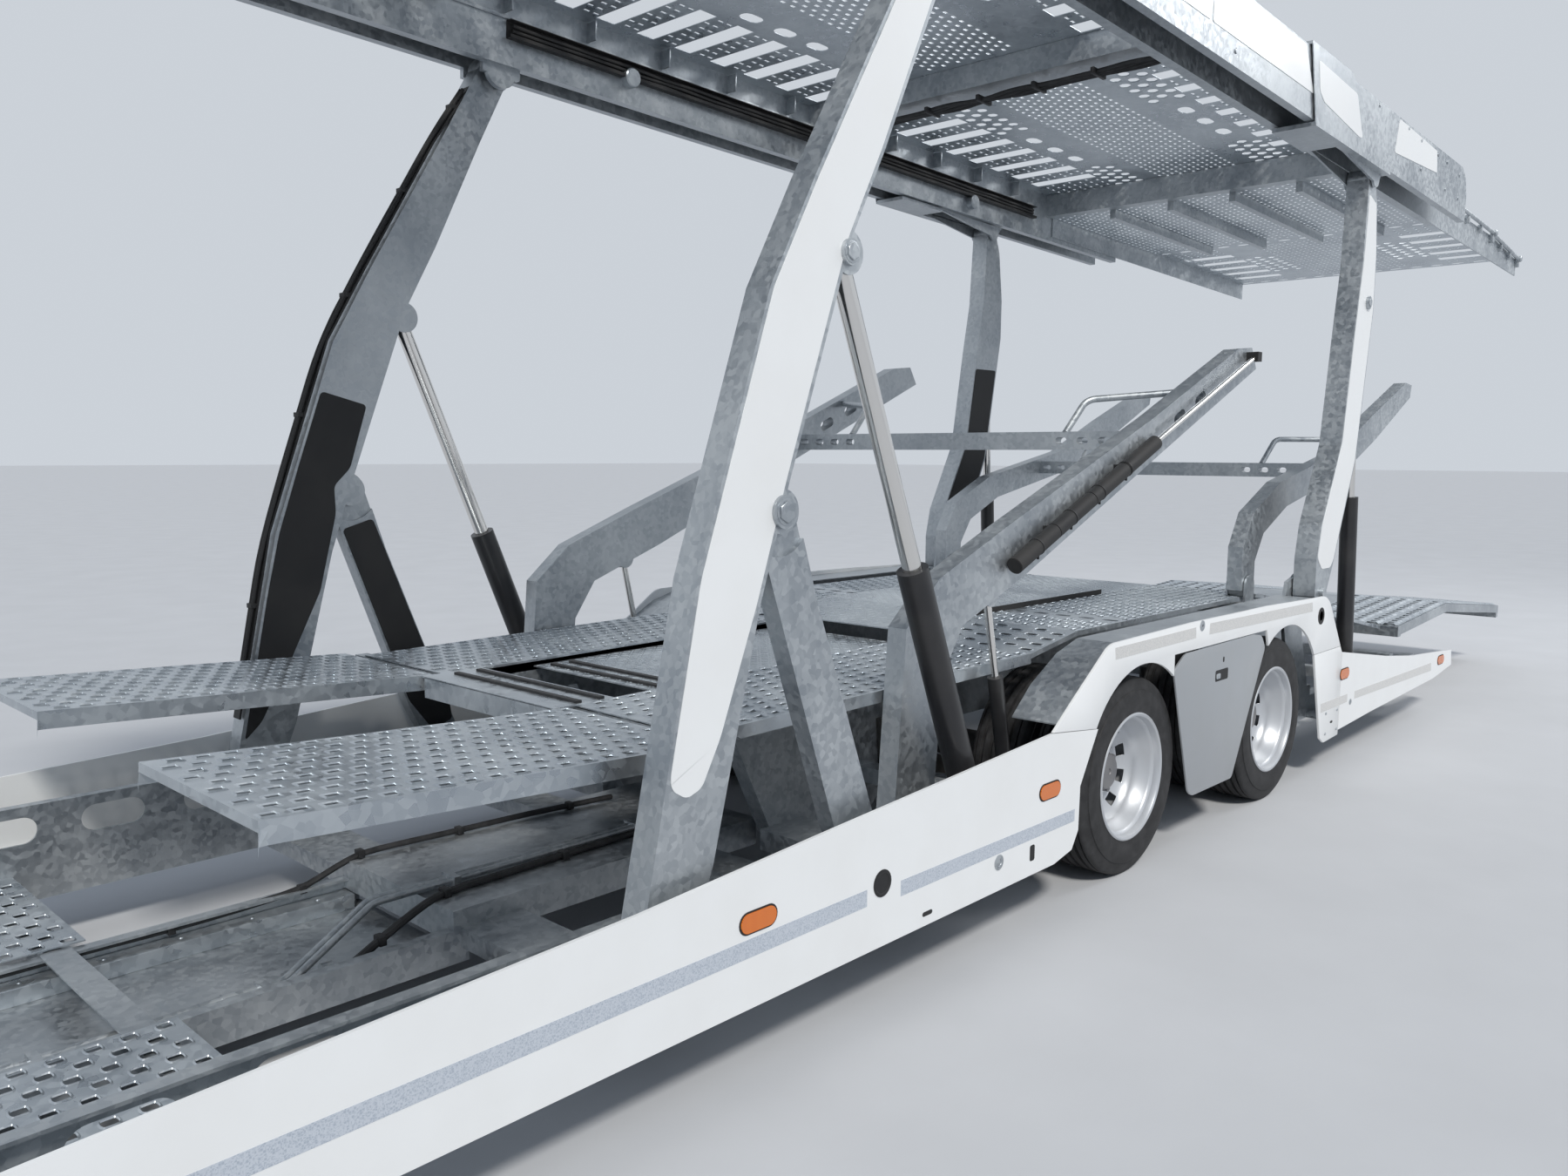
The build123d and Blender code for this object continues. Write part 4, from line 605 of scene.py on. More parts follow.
# %% Centre plates
# Chequer plate: short raised bars that lean both ways in turn. They are one bar copied along and across.
BAR_LENGTH, BAR_WIDTH, BAR_HEIGHT = 26.0, 5.0, 1.2
BAR_STEP = 30.0
CHEQUER_THICKNESS = 5.0


def chequer_bars(length, width):
    """Raised bars over a flat, centred rectangle, as one bmesh."""
    bm = bmesh.new()
    columns, rows = int(length / BAR_STEP), int(width / BAR_STEP)
    size = Matrix.Diagonal((BAR_LENGTH * MM, BAR_WIDTH * MM, BAR_HEIGHT * MM, 1.0))
    for column in range(columns):
        for row in range(rows):
            lean = math.radians(45.0 if (column + row) % 2 else -45.0)
            x = (column - (columns - 1) / 2) * BAR_STEP * MM
            y = (row - (rows - 1) / 2) * BAR_STEP * MM
            place = Matrix.Translation((x, y, BAR_HEIGHT * MM / 2)) @ Matrix.Rotation(lean, 4, "Z") @ size
            bmesh.ops.create_cube(bm, size=1.0, matrix=place)
    return bm


def chequer_plate(line, y_half):
    """A plate with raised bars on it, laid along a line."""
    length = line_length(line)
    bars = lay_along(chequer_bars(length, 2 * y_half), line, 0.0)
    slab = bmesh.new()
    size = Matrix.Diagonal((length * MM, 2 * y_half * MM, CHEQUER_THICKNESS * MM, 1.0))
    place = Matrix.Translation((0, 0, -CHEQUER_THICKNESS * MM / 2)) @ size
    bmesh.ops.create_cube(slab, size=1.0, matrix=place)
    for station in running_lengths(line)[1:-1]:
        bend = ((station - length / 2) * MM, 0, 0)
        bmesh.ops.bisect_plane(slab, geom=everything(slab), plane_co=bend, plane_no=(1, 0, 0))
    lay_along(slab, line, 0.0)
    return join([slab, bars])


centre_plate = chequer_plate([(300, 850), (1650, 840)], TRACK_INNER_Y)
make_piece("chequered_centre_plate", centre_plate, ZINC_SHEET, "chassis", node="centre_deck")
# Over the front axle the plate is a raised cover, with black edges
COVER_LINE = [(-1290, 956), (-50, 956), (300, 906)]
rear_centre = join([chequer_plate([(-1900, 930), (-1290, 930)], TRACK_INNER_Y),
                    chequer_plate(COVER_LINE, TRACK_INNER_Y + 8)])
make_piece("chequered_rear_plate", rear_centre, ZINC_SHEET, "chassis")
cover_edge = [(x, z - 1) for x, z in COVER_LINE] + [(x, z - 30) for x, z in reversed(COVER_LINE)]
cover_end = block(-1294, -1288, -TRACK_INNER_Y, TRACK_INNER_Y, 926, 955)
black_edge = join([both_sides(plate(cover_edge, TRACK_INNER_Y - 2, TRACK_INNER_Y + 9)), cover_end])
make_piece("cover_edge_black", black_edge, BLACK_PATCH, "chassis")

# %% [markdown]
# ## Painted patches
# The arms are galvanised, with large white patches on their outer faces and black ones on their inner
# faces. The patches stand a couple of millimetres proud with rounded corners, so each is a thin plate.

# %% Patches on the arms and struts
PATCH = 2.0
ARM_WHITE = [(1377, 3150), (1528, 2885), (1848, 2352), (2013, 2057), (2268, 1328), (2372, 853), (2369, 822),
             (2321, 792), (2270, 809), (2206, 925), (2074, 1255), (1969, 1560), (1724, 2219), (1584, 2477),
             (1364, 2929), (1248, 3150)]
ARM_BLACK = [(1896, 1822), (2080, 1870), (2180, 1585), (2267, 1325), (2320, 1100), (2430, 558), (2365, 619),
             (2249, 830), (2115, 1100), (2040, 1399), (2043, 1506), (1974, 1575)]
STRUT_BLACK = [(2008, 1334), (1880, 1373), (1836, 1260), (1660, 805), (1560, 600), (1545, 500), (1640, 470),
               (1745, 608), (1815, 808)]
REAR_WHITE = [(-2436, 2981), (-2548, 2948), (-2588, 2690), (-2588, 2405), (-2438, 1620), (-2192, 1104),
              (-2150, 1066), (-2030, 1066), (-1968, 1123), (-2008, 1288), (-2234, 1705), (-2338, 2295),
              (-2403, 2608), (-2428, 2829)]
REAR_BLACK = [(-2320, 2190), (-2547, 2190), (-2438, 1620), (-2192, 1104), (-2130, 990), (-1968, 990),
              (-1968, 1123), (-2008, 1288), (-2234, 1705)]
# Patches: name, outline, inner and outer Y, body, finish
PATCHES = [("arm_patch_white", ARM_WHITE, 1214.0, 1214.0 + PATCH, "front_arms", WHITE),
           ("arm_patch_black", ARM_BLACK, 1126.0 - PATCH, 1126.0, "front_arms", BLACK_PATCH),
           ("strut_patch_black", STRUT_BLACK, 1140.0 - PATCH, 1140.0, "front_struts", BLACK_PATCH),
           ("rear_arm_patch_white", REAR_WHITE, 1215.0, 1215.0 + PATCH, "rear_arms", WHITE),
           ("rear_arm_patch_black", REAR_BLACK, 1105.0 - PATCH, 1105.0, "rear_arms", BLACK_PATCH)]
for name, outline, low, high, body, finish in PATCHES:
    make_piece(name, both_sides(plate(outline, low, high, corner=16.0)), finish, body)
print("patches", len(PATCHES))

# %% The deck's own frame
DECK_ZERO = at(0, 0, 3202)
DECK_SLOPE = math.radians(2.0)


def on_deck(bm):
    """Moves a bmesh from the deck's own frame to its place on the sloping deck."""
    back = Matrix.Translation(-at(0, 0, 0))
    turn = Matrix.Translation(DECK_ZERO) @ Matrix.Rotation(-DECK_SLOPE, 4, "Y") @ back
    bmesh.ops.transform(bm, matrix=turn, space=Matrix(), verts=list(bm.verts))
    return bm


# %% [markdown]
# ## Upper deck's floor
# Seen from the ground the upper deck is all underside. Its floor is made of cassettes that are set edge
# to edge: open ladders for the straps along both sides, plates with clusters of round holes beside them,
# and finely slotted sheet in the middle. So the floor is a table of rectangles, each of which is a small
# grid whose cells are inset and rounded into holes. All of it is made flat and then turned onto the
# sloping deck.

# %% Cassettes
DECK_FRONT, DECK_STEP, DECK_REAR = 4350.0, -3120.0, -6350.0
FLOOR_SHEET = 3.0
LADDER_OUT = 980.0
LADDER_PITCH = 130
SLOT_LENGTH = 100.0
CLUSTER_PITCH = 104
LONG_HOLE_HALF = 100
LADDER_HOLES = {"hole": (30.0, 13.0), "lip": 2.0}
ROUND_HOLES = {"rows": 3, "hole": (58.0, 54.0), "corner": 27.0, "cuts": 1, "lip": 2.0}
LONG_HOLE = {"hole": (120.0, 70.0), "corner": 35.0, "cuts": 3, "staggered": False}


def holes_between(low, high, spans):
    """The stretches from low to high that the given spans leave free."""
    free = []
    place = low
    for start, end in sorted(spans):
        if start > place:
            free.append((place, start))
        place = max(place, end)
    if place < high:
        free.append((place, high))
    return free


def cassette(x_ends, y_ends, top, columns=1, rows=1, hole=None, corner=0.0, cuts=0, lip=0.0, staggered=True):
    """A flat plate between limits on the deck, with a grid of holes in it when a hole's size is given."""
    length, width = x_ends[1] - x_ends[0], y_ends[1] - y_ends[0]
    if hole:
        sheet = punched_sheet if staggered else holed_grid
        bm = sheet(length, width, columns, rows, hole, corner, cuts, lip)
    else:
        bm = flat_grid(length, width, 1, 1)
    bmesh.ops.translate(bm, verts=list(bm.verts), vec=at(sum(x_ends) / 2, sum(y_ends) / 2, top))
    return bm


def mirrored(ends):
    """The same stretch on both sides of the middle."""
    return [ends, (-ends[1], -ends[0])]


def spans_round(places):
    """The stretches that strap slots take up."""
    return [(x - SLOT_LENGTH / 2, x + SLOT_LENGTH / 2) for x in places]


def ladders(y_ends, limits, slots, top, rows):
    """Ladders on both sides, which the strap slots leave open."""
    made = []
    for y_span in mirrored(y_ends):
        for x_span in holes_between(*limits, slots):
            bars = max(1, round((x_span[1] - x_span[0]) / LADDER_PITCH))
            made.append(cassette(x_span, y_span, top, 2 * bars, rows, **LADDER_HOLES))
    return made


def edge_strips(y_ends, limits, top):
    """A plain strip on both sides."""
    return [cassette(limits, y_span, top) for y_span in mirrored(y_ends)]


def hole_rows(y_ends, limits, clusters, long_holes, top):
    """Clusters of round holes and single long holes on both sides, with plain plate between them."""
    made = []
    long_spans = [(x - LONG_HOLE_HALF, x + LONG_HOLE_HALF) for x in long_holes]
    for y_span in mirrored(y_ends):
        for x_span in clusters:
            columns = round((x_span[1] - x_span[0]) / CLUSTER_PITCH)
            made.append(cassette(x_span, y_span, top, columns, **ROUND_HOLES))
        made += [cassette(x_span, y_span, top, **LONG_HOLE) for x_span in long_spans]
        made += [cassette(x_span, y_span, top) for x_span in holes_between(*limits, clusters + long_spans)]
    return made


# %% The floor
FLOOR_TOP = 296.0
HOLE_ROW = (350.0, 560.0)
MIDDLE = (-250.0, 250.0)
MIDDLE_PITCH = 62
# Rows of ladder slots: X of the first, number, pitch
SLOT_ROWS = [(3980, 5, 240), (2740, 5, 240), (1478, 10, 226), (-1330, 7, 238)]
LONG_HOLES = [420, 205, -10, -1890, -2125, -2360]
CLUSTERS = [(3200, 3900), (-1710, -1150), (-3100, -2560)]
MIDDLE_SPANS = [(2950, 4340), (1650, 2850), (-600, 1550), (-3100, -800)]
deck = (DECK_STEP, DECK_FRONT)
slots = spans_round([first - index * pitch for first, number, pitch in SLOT_ROWS for index in range(number)])
floor_parts = ladders((HOLE_ROW[1], LADDER_OUT), deck, slots, FLOOR_TOP, 7)
floor_parts += edge_strips((LADDER_OUT, 1054.0), deck, FLOOR_TOP)
floor_parts += hole_rows(HOLE_ROW, deck, CLUSTERS, LONG_HOLES, FLOOR_TOP)
floor_parts += edge_strips((MIDDLE[1], HOLE_ROW[0]), deck, FLOOR_TOP)
for span in MIDDLE_SPANS:
    columns = round((span[1] - span[0]) / MIDDLE_PITCH)
    floor_parts.append(cassette(span, MIDDLE, FLOOR_TOP, columns, 12, (28.0, 14.0)))
floor_parts += [cassette(span, MIDDLE, FLOOR_TOP) for span in holes_between(*deck, MIDDLE_SPANS)]
floor = make_piece("cassette_floor", on_deck(join(floor_parts)), ZINC_SHEET, "upper_deck", sheet=FLOOR_SHEET,
                   node="deck_floor")
print("cassettes", len(floor_parts), "faces", len(floor.data.polygons))

# %% The rear section's floor
REAR_TOP = 158.0
REAR_EDGE = 1045.0
REAR_PANEL = -4650.0
REAR_FRAME = 110
REAR_LADDER_IN = 600.0
REAR_MIDDLE = 340.0
REAR_SLOTS = [-5060, -5305, -5550, -5795, -6040]
END_SLOTS = {"rows": 14, "hole": (44.0, 90.0), "corner": 20.0, "cuts": 1, "staggered": False}
FINE_SLOT = (30.0, 15.0)
across = (-REAR_EDGE, REAR_EDGE)
field = (DECK_REAR + REAR_FRAME, REAR_PANEL - REAR_FRAME)
rear_parts = [cassette((REAR_PANEL, DECK_STEP), across, REAR_TOP, 24, 50, FINE_SLOT),
              cassette((REAR_PANEL - REAR_FRAME, REAR_PANEL), across, REAR_TOP, **END_SLOTS),
              cassette((DECK_REAR, DECK_REAR + REAR_FRAME), across, REAR_TOP, **END_SLOTS)]
rear_parts += ladders((REAR_LADDER_IN, LADDER_OUT), field, spans_round(REAR_SLOTS), REAR_TOP, 6)
rear_parts += edge_strips((LADDER_OUT, REAR_EDGE), field, REAR_TOP)
rear_parts += hole_rows((REAR_MIDDLE, REAR_LADDER_IN), field, [(-5900, -5180)], [], REAR_TOP)
rear_parts.append(cassette(field, (-REAR_MIDDLE, REAR_MIDDLE), REAR_TOP, 22, 16, FINE_SLOT))
rear_floor = make_piece("rear_cassette_floor", on_deck(join(rear_parts)), ZINC_SHEET, "upper_deck",
                        sheet=FLOOR_SHEET, node="rear_deck")
print("rear cassettes", len(rear_parts), "faces", len(rear_floor.data.polygons))

# %% The rear section's sides and ribs
side_plates = [block(DECK_REAR, DECK_STEP, REAR_EDGE, 1054.0, 30, 200, edge=1.5)]
for y in (200.0, 600.0):
    side_plates.append(block(REAR_PANEL, DECK_STEP, y - 20, y + 20, 95, REAR_TOP - FLOOR_SHEET, edge=2.0))
sides = both_sides(on_deck(join(side_plates)))
make_piece("rear_deck_sides", sides, ZINC, "upper_deck", node="rear_deck")

# %% [markdown]
# ## Rear platform
# Each of the platform's two tracks is pressed into ridges along the way the cars drive, and every ridge
# has a row of slots in its crown. The crowns are punched strips and the valleys are a folded sheet
# between them. Both are made flat and then laid along the platform's bend.

# %% The platform
PLATFORM_LINE = [(-6596, 452), (-5100, 600), (-4020, 549)]
PLATFORM_TRACK = (400.0, 1036.0)
RIDGES = 6
RIDGE_HEIGHT = 10.0
RIDGE_SEAT = 4.5
RIDGE_SHEET = 2.5
RIDGE_STEPS = 8
CROWN_SHARE = 0.5
CROWN_SLOT, CROWN_PITCH = 40.0, 76.0
CROWN_MARGIN = 18.0


def ridged_track(length, width):
    """A flat, centred track with ridges along it: punched crowns, and valleys between them."""
    pitch = width / RIDGES
    crown = pitch * CROWN_SHARE
    columns = int(length / CROWN_PITCH)
    parts = []
    for index in range(RIDGES):
        y = (index + 0.5) * pitch - width / 2
        strip = holed_grid(length, crown, columns, 1, (CROWN_SLOT, crown - CROWN_MARGIN))
        raised = (0, y * MM, (RIDGE_SEAT + RIDGE_HEIGHT) * MM)
        bmesh.ops.translate(strip, verts=list(strip.verts), vec=raised)
        parts.append(strip)
    folded = flat_grid(length, width, 24, RIDGES * RIDGE_STEPS)
    for vert in folded.verts:
        number = round((vert.co.y / MM + width / 2) / (pitch / RIDGE_STEPS)) % RIDGE_STEPS
        vert.co.z = (RIDGE_SEAT + (RIDGE_HEIGHT if 2 <= number <= 6 else 0.0)) * MM
    crowns = [face for face in folded.faces
              if all(vert.co.z > (RIDGE_SEAT + RIDGE_HEIGHT / 2) * MM for vert in face.verts)]
    bmesh.ops.delete(folded, geom=crowns, context="FACES")
    return join(parts + [folded])


platform_track = ridged_track(line_length(PLATFORM_LINE), PLATFORM_TRACK[1] - PLATFORM_TRACK[0])
lay_along(platform_track, PLATFORM_LINE, sum(PLATFORM_TRACK) / 2)
make_piece("ridged_platform", both_sides(platform_track), ZINC_SHEET, "rear_platform", sheet=RIDGE_SHEET)

# %% [markdown]
# ## Tyres and rims
# A trailer tyre has plain ribs: grooves all the way round and no blocks. So it is one section, drawn once
# with its grooves, and spun about the axle. The rim is a thin spun sheet with a deep dish. Ten hand holes
# are cut in the dish before the sheet gets its thickness, and the nuts stand in a ring on the hub.

# %% Tyres
TYRE_RADIUS = 391.0
TYRE_HALF = 122.0
TWIN_PITCH = 272.0
TYRE_STEPS = 88
REAR_AXLE_X = -1410.0
# Wheel pairs: name, axle's X, side
WHEELS = [(f"{axle}_{side}", axle_x, sign) for axle, axle_x in (("front", 0.0), ("rear", REAR_AXLE_X))
          for side, sign in (("left", 1), ("right", -1))]
# Half of a tyre's section from the bead to the middle of the tread: across, radius
HALF_SECTION = [(98, 237), (112, 243), (117, 252), (116, 262), (121, 280), (121.5, 312), (118, 340),
                (114, 342), (112, 352), (108, 366), (105, 379), (101, 385), (94, 388.5), (89, 389),
                (88, 379), (84, 379), (83, 389.5), (64, 390.3), (62, 378), (52, 378), (50, 390.6),
                (26, 391), (24, 378), (13, 378), (11, 391)]


def spun(section, centre, steps, closed=False):
    """Spins a section of (Y, radius) about an axle whose centre is (X, Z)."""
    bm = bmesh.new()
    verts = [bm.verts.new(at(centre[0], y, centre[1] + radius)) for y, radius in section]
    pairs = list(zip(verts, verts[1:]))
    if closed:
        pairs.append((verts[-1], verts[0]))
    edges = [bm.edges.new(pair) for pair in pairs]
    bmesh.ops.spin(bm, geom=verts + edges, cent=at(centre[0], 0, centre[1]), axis=(0, 1, 0),
                   angle=2 * math.pi, steps=steps, use_merge=True)
    bmesh.ops.remove_doubles(bm, verts=list(bm.verts), dist=TINY)
    bmesh.ops.recalc_face_normals(bm, faces=list(bm.faces))
    return bm


def tyre(axle_x, y_middle):
    left = [(y_middle + across, radius) for across, radius in HALF_SECTION]
    right = [(y_middle - across, radius) for across, radius in reversed(HALF_SECTION)]
    return spun(left + right, (axle_x, TYRE_RADIUS), TYRE_STEPS, closed=True)


def outer_face(wheel, sign):
    """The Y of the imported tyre's outer side."""
    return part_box(f"tyres_{wheel}")[1 if sign > 0 else 0][1] / MM


for wheel, axle_x, sign in WHEELS:
    outer_y = outer_face(wheel, sign) - sign * TYRE_HALF
    pair = join([tyre(axle_x, outer_y), tyre(axle_x, outer_y - sign * TWIN_PITCH)])
    piece = make_piece(f"ribbed_tyres_{wheel}", pair, TYRE, f"wheel_{wheel}", 32, node=f"tyres_{wheel}")
print("tyre faces", len(piece.data.polygons), "in a pair")

# %% Rims
RIM_STEPS = 80
HUB_STEPS = 48
HOLES = 10
HOLE_HALF_SHARE = 0.26
# Rim sheet, outside face: distance inwards from the tyre's outer face, radius
DISH = [(12, 253), (5, 250), (3, 246), (6, 240), (13, 237), (30, 234), (36, 225), (42, 222), (78, 214),
        (84, 209), (104, 205), (118, 200), (134, 188), (148, 172), (157, 154), (161, 138), (162, 122),
        (162, 84)]
HAND_HOLE = (148, 188)
BARREL = [(36, 225), (60, 222), (250, 218), (484, 218), (505, 226), (511, 246), (505, 252)]
RIM_SHEET = 5.0
HUB_DEPTH = 162
HUB = [(HUB_DEPTH, 92), (158, 86), (128, 80), (122, 74), (112, 72), (104, 66), (102, 56), (102, 14),
       (106, 12), (106, 0.5)]
NUTS = 10
NUT_CIRCLE = 106.0
NUT_RADIUS, NUT_HEIGHT = 15.0, 26.0


def turned(profile, axle_x, outer_y, sign, steps):
    """Spins a profile that is counted inwards from the tyre's outer face."""
    section = [(outer_y - sign * inwards, radius) for inwards, radius in profile]
    return spun(section, (axle_x, TYRE_RADIUS), steps)


def cut_hand_holes(bm, axle_x):
    """Cuts round windows into the ring of faces whose middles lie between two radii."""
    middle = at(axle_x, 0, TYRE_RADIUS)
    groups = {}
    for face in bm.faces:
        offset = face.calc_center_median() - middle
        radius = math.hypot(offset.x, offset.z) / MM
        if HAND_HOLE[0] < radius < HAND_HOLE[1]:
            share = (math.atan2(offset.z, offset.x) / (2 * math.pi)) % 1.0 * HOLES
            if abs(share % 1.0 - 0.5) < HOLE_HALF_SHARE:
                groups.setdefault(int(share), []).append(face)
    windows = []
    for faces in groups.values():
        windows += bmesh.ops.dissolve_faces(bm, faces=faces, use_verts=True)["region"]
    bmesh.ops.inset_individual(bm, faces=windows, thickness=1.5 * MM, use_even_offset=True)
    bmesh.ops.delete(bm, geom=windows, context="FACES")
    return len(windows)


def wheel_nut(axle_x, outer_y, sign, number):
    angle = 2 * math.pi * (number + 0.5) / NUTS
    place = at(axle_x + NUT_CIRCLE * math.cos(angle), outer_y - sign * (HUB_DEPTH - NUT_HEIGHT / 2),
               TYRE_RADIUS + NUT_CIRCLE * math.sin(angle))
    turn = Matrix.Translation(place) @ Matrix.Rotation(math.pi / 2, 4, "X")
    return cone(turn, 6, NUT_RADIUS, NUT_HEIGHT)


for wheel, axle_x, sign in WHEELS:
    face = (axle_x, outer_face(wheel, sign), sign)
    dish = turned(DISH, *face, RIM_STEPS)
    windows = cut_hand_holes(dish, axle_x)
    rim = join([dish, turned(BARREL, *face, RIM_STEPS)])
    make_piece(f"dished_rims_{wheel}", rim, RIM_SILVER, f"wheel_{wheel}", 35, sheet=RIM_SHEET, offset=0.0,
               node=f"rims_{wheel}")
    hub = join([turned(HUB, *face, HUB_STEPS)] + [wheel_nut(*face, number) for number in range(NUTS)])
    make_piece(f"hub_and_nuts_{wheel}", hub, HUB_GREY, f"wheel_{wheel}", 30)
print("hand holes", windows, "nuts", NUTS)

# %% [markdown]
# ## White panels
# The deck's side beams and its shoes carry white panels. They are thin plates like the patches on the
# arms, drawn in the deck's own frame.

# %% Panels on the deck's side beams
BEAM_FACE_Y = 1262.0
SHOE_FACE_Y = 1273.0
# Panels: outline in the deck's frame, (X, height)
DECK_PANELS = [[(-1330, 290), (-377, 290), (-377, 108), (-1450, 108)],
               [(-357, 290), (4300, 290), (4340, 250), (4340, 108), (-357, 108)],
               [(-2690, 290), (-3380, 276), (-3400, 160), (-2640, 108)]]
SHOE_PANEL = [(-1470, 258), (-1990, 240), (-2100, 60), (-2060, 52), (-1565, 96), (-1500, 130)]
panels = [plate(outline, BEAM_FACE_Y, BEAM_FACE_Y + PATCH, corner=10.0) for outline in DECK_PANELS]
make_piece("deck_panels_white", both_sides(on_deck(join(panels))), WHITE, "upper_deck")
shoe_panel = plate(SHOE_PANEL, SHOE_FACE_Y, SHOE_FACE_Y + 1.5, corner=14.0)
make_piece("shoe_panels_white", both_sides(on_deck(shoe_panel)), WHITE, "deck_shoes")

# %% [markdown]
# ## Fenders and wheel panels
# The arches over the wheels are true arcs, and the panels have rounded corners and broken edges that
# catch the light. They are outlines whose arcs come from a formula, pulled to the panels' thickness.
# Behind the rear wheel the fender ends at a seam, so its foot is a plate of its own with a dark gap above
# it.

# %% Fenders
SKIRT_FACE_Y = 1271.0
SKIRT_BACK_Y = 1260.0
PANEL_FACE_Y = 1268.0
ARCH_RADIUS = 440.0
ARCH_STEPS = 20
SEAM_Z = 655.0
SEAM_GAP = 3.0
EDGE_BREAK = 1.5


def arc(centre, radius, start, end, steps):
    """Points of (X, Z) on an arc between two angles in degrees, anticlockwise from forward."""
    angles = [math.radians(start + (end - start) * index / steps) for index in range(steps + 1)]
    return [(centre[0] + radius * math.cos(angle), centre[1] + radius * math.sin(angle)) for angle in angles]


front_arch = arc((0, 402), ARCH_RADIUS, 126, 34, ARCH_STEPS)
rear_arch = arc((REAR_AXLE_X - 62, 400), ARCH_RADIUS, 144.6, 57, ARCH_STEPS)
nose = arc((240, 820), 130, 55, 88, 5)
tail = arc((REAR_AXLE_X - 500, 770), 170, 94, 141, 8)
FENDER = [(668, 684), (536, 777), *nose, (-400, 960), (REAR_AXLE_X + 210, 956), (REAR_AXLE_X - 420, 941),
          *tail, (REAR_AXLE_X - 802, SEAM_Z), *rear_arch, (REAR_AXLE_X + 205, 845), (-258, 845), *front_arch]
FENDER_FOOT = [(REAR_AXLE_X - 804, SEAM_Z - SEAM_GAP), (REAR_AXLE_X - 830, 620), (REAR_AXLE_X - 830, 180),
               (REAR_AXLE_X - 622, 173), (REAR_AXLE_X - 566, 204), (REAR_AXLE_X - 424, SEAM_Z - SEAM_GAP)]
PANEL = [(-262, 780), (-364, 837), (REAR_AXLE_X + 357, 842), (REAR_AXLE_X + 256, 826),
         (REAR_AXLE_X + 210, 765), (REAR_AXLE_X + 527, 216), (-478, 219), (-436, 247)]


def skirt_plate(outline, face_y, corner=0.0):
    """A plate behind a skirt's face, with the edges round its outer face rounded."""
    bm = plate(outline, SKIRT_BACK_Y, face_y, corner)
    edges = [edge for edge in bm.edges if all(abs(vert.co.y - face_y * MM) < TINY for vert in edge.verts)]
    bevel(bm, edges, EDGE_BREAK, "EDGES", 2)
    return bm


fenders = join([skirt_plate(outline, SKIRT_FACE_Y) for outline in (FENDER, FENDER_FOOT)])
make_piece("rounded_fenders", both_sides(fenders), WHITE, "chassis", 25, node="fenders")
panel = skirt_plate(PANEL, PANEL_FACE_Y, corner=18.0)
make_piece("rounded_wheel_panels", both_sides(panel), SILVER, "chassis", 25, node="wheel_panels")
print("arch radius", ARCH_RADIUS, "mm, seam at", SEAM_Z)

# %% [markdown]
# ## Skirt trim
# Reflective film runs along the white skirts, grey at the front and pale behind. It is a thin strip, a
# fraction of a millimetre proud, so that its edges stay crisp at any distance.

# %% Film
FILM = 0.6
# Strips of film on the front skirts, and on the fenders and rear skirts: outline of (X, Z)
FRONT_BANDS = [[(1680, 350), (3960, 344), (3960, 394), (1680, 400)],
               [(507, 336), (1522, 337), (1522, 385), (507, 380)]]
PALE_BANDS = [[(-447, 892), (239, 887), (245, 932), (-443, 937)],
              [(-1774, 877), (-574, 893), (-580, 940), (-1768, 923)],
              [(-3919, 301), (-2476, 336), (-2476, 378), (-3909, 352)],
              [(-2361, 337), (-1966, 338), (-1960, 385), (-2361, 380)]]
for name, bands, finish in (("front_film", FRONT_BANDS, FILM_GREY), ("pale_film", PALE_BANDS, FILM_PALE)):
    film = join([plate(strip, SKIRT_FACE_Y - 1, SKIRT_FACE_Y + FILM) for strip in bands])
    make_piece(name, both_sides(film), finish, "chassis")

# %% [markdown]
# ## Bolts, plugs and lamp seats on the skirts
# Small fasteners are what the eye checks first on a plain panel. Most are a section spun about its own
# axis, or a small plate with rounded corners, and tables say where each one sits on the panels' outer
# face.

# %% Round fittings
FITTING_STEPS = 24


def stud(x, z, face_y, radius, height, hollow=0.0):
    """A round head on an upright face, with a rounded rim and, when it is hollow, a dished middle."""
    top = face_y + height
    section = [(face_y - 1, 0), (face_y - 1, radius), (face_y + height * 0.6, radius), (top, radius * 0.86)]
    if hollow:
        floor_y = face_y + height * 0.3
        section += [(top, hollow), (floor_y, hollow * 0.92), (floor_y, 0)]
    else:
        section += [(top, 0)]
    return spun(section, (x, z), FITTING_STEPS)


def slot_plate(x, z, length, height, corner, face_y, proud):
    """A flat rectangle with round corners on an upright face."""
    corners = ((-1, -1), (1, -1), (1, 1), (-1, 1))
    outline = [(x + along * length / 2, z + up * height / 2) for along, up in corners]
    return plate(outline, face_y - 1, face_y + proud, corner)


# Amber marker lamps, which stand on black seats: X, Z
LAMPS = [(2124, 442), (682, 484), (-2296, 498), (-4121, 346)]
# Black parts in the panels: X, Z, length, height, corner
BLACK_PLATES = [(788, 288, 30, 55, 8), (1387, 247, 50, 14, 6.9), (-2132, 266, 34, 12, 5.9)]
# Latch and keyhole in the removable wheel panel: X, Z, length, height, corner
LATCH_PLATES = [(-727, 702, 128, 48, 8), (-741, 767, 14, 24, 6.9)]
LATCH_LEVER = (-690, 700, 40, 22, 6)
# Round plugs: X, Z, radius
BLACK_PLUGS = [(1610, 401, 41), (-1899, 843, 43), (-1899, 843, 34)]
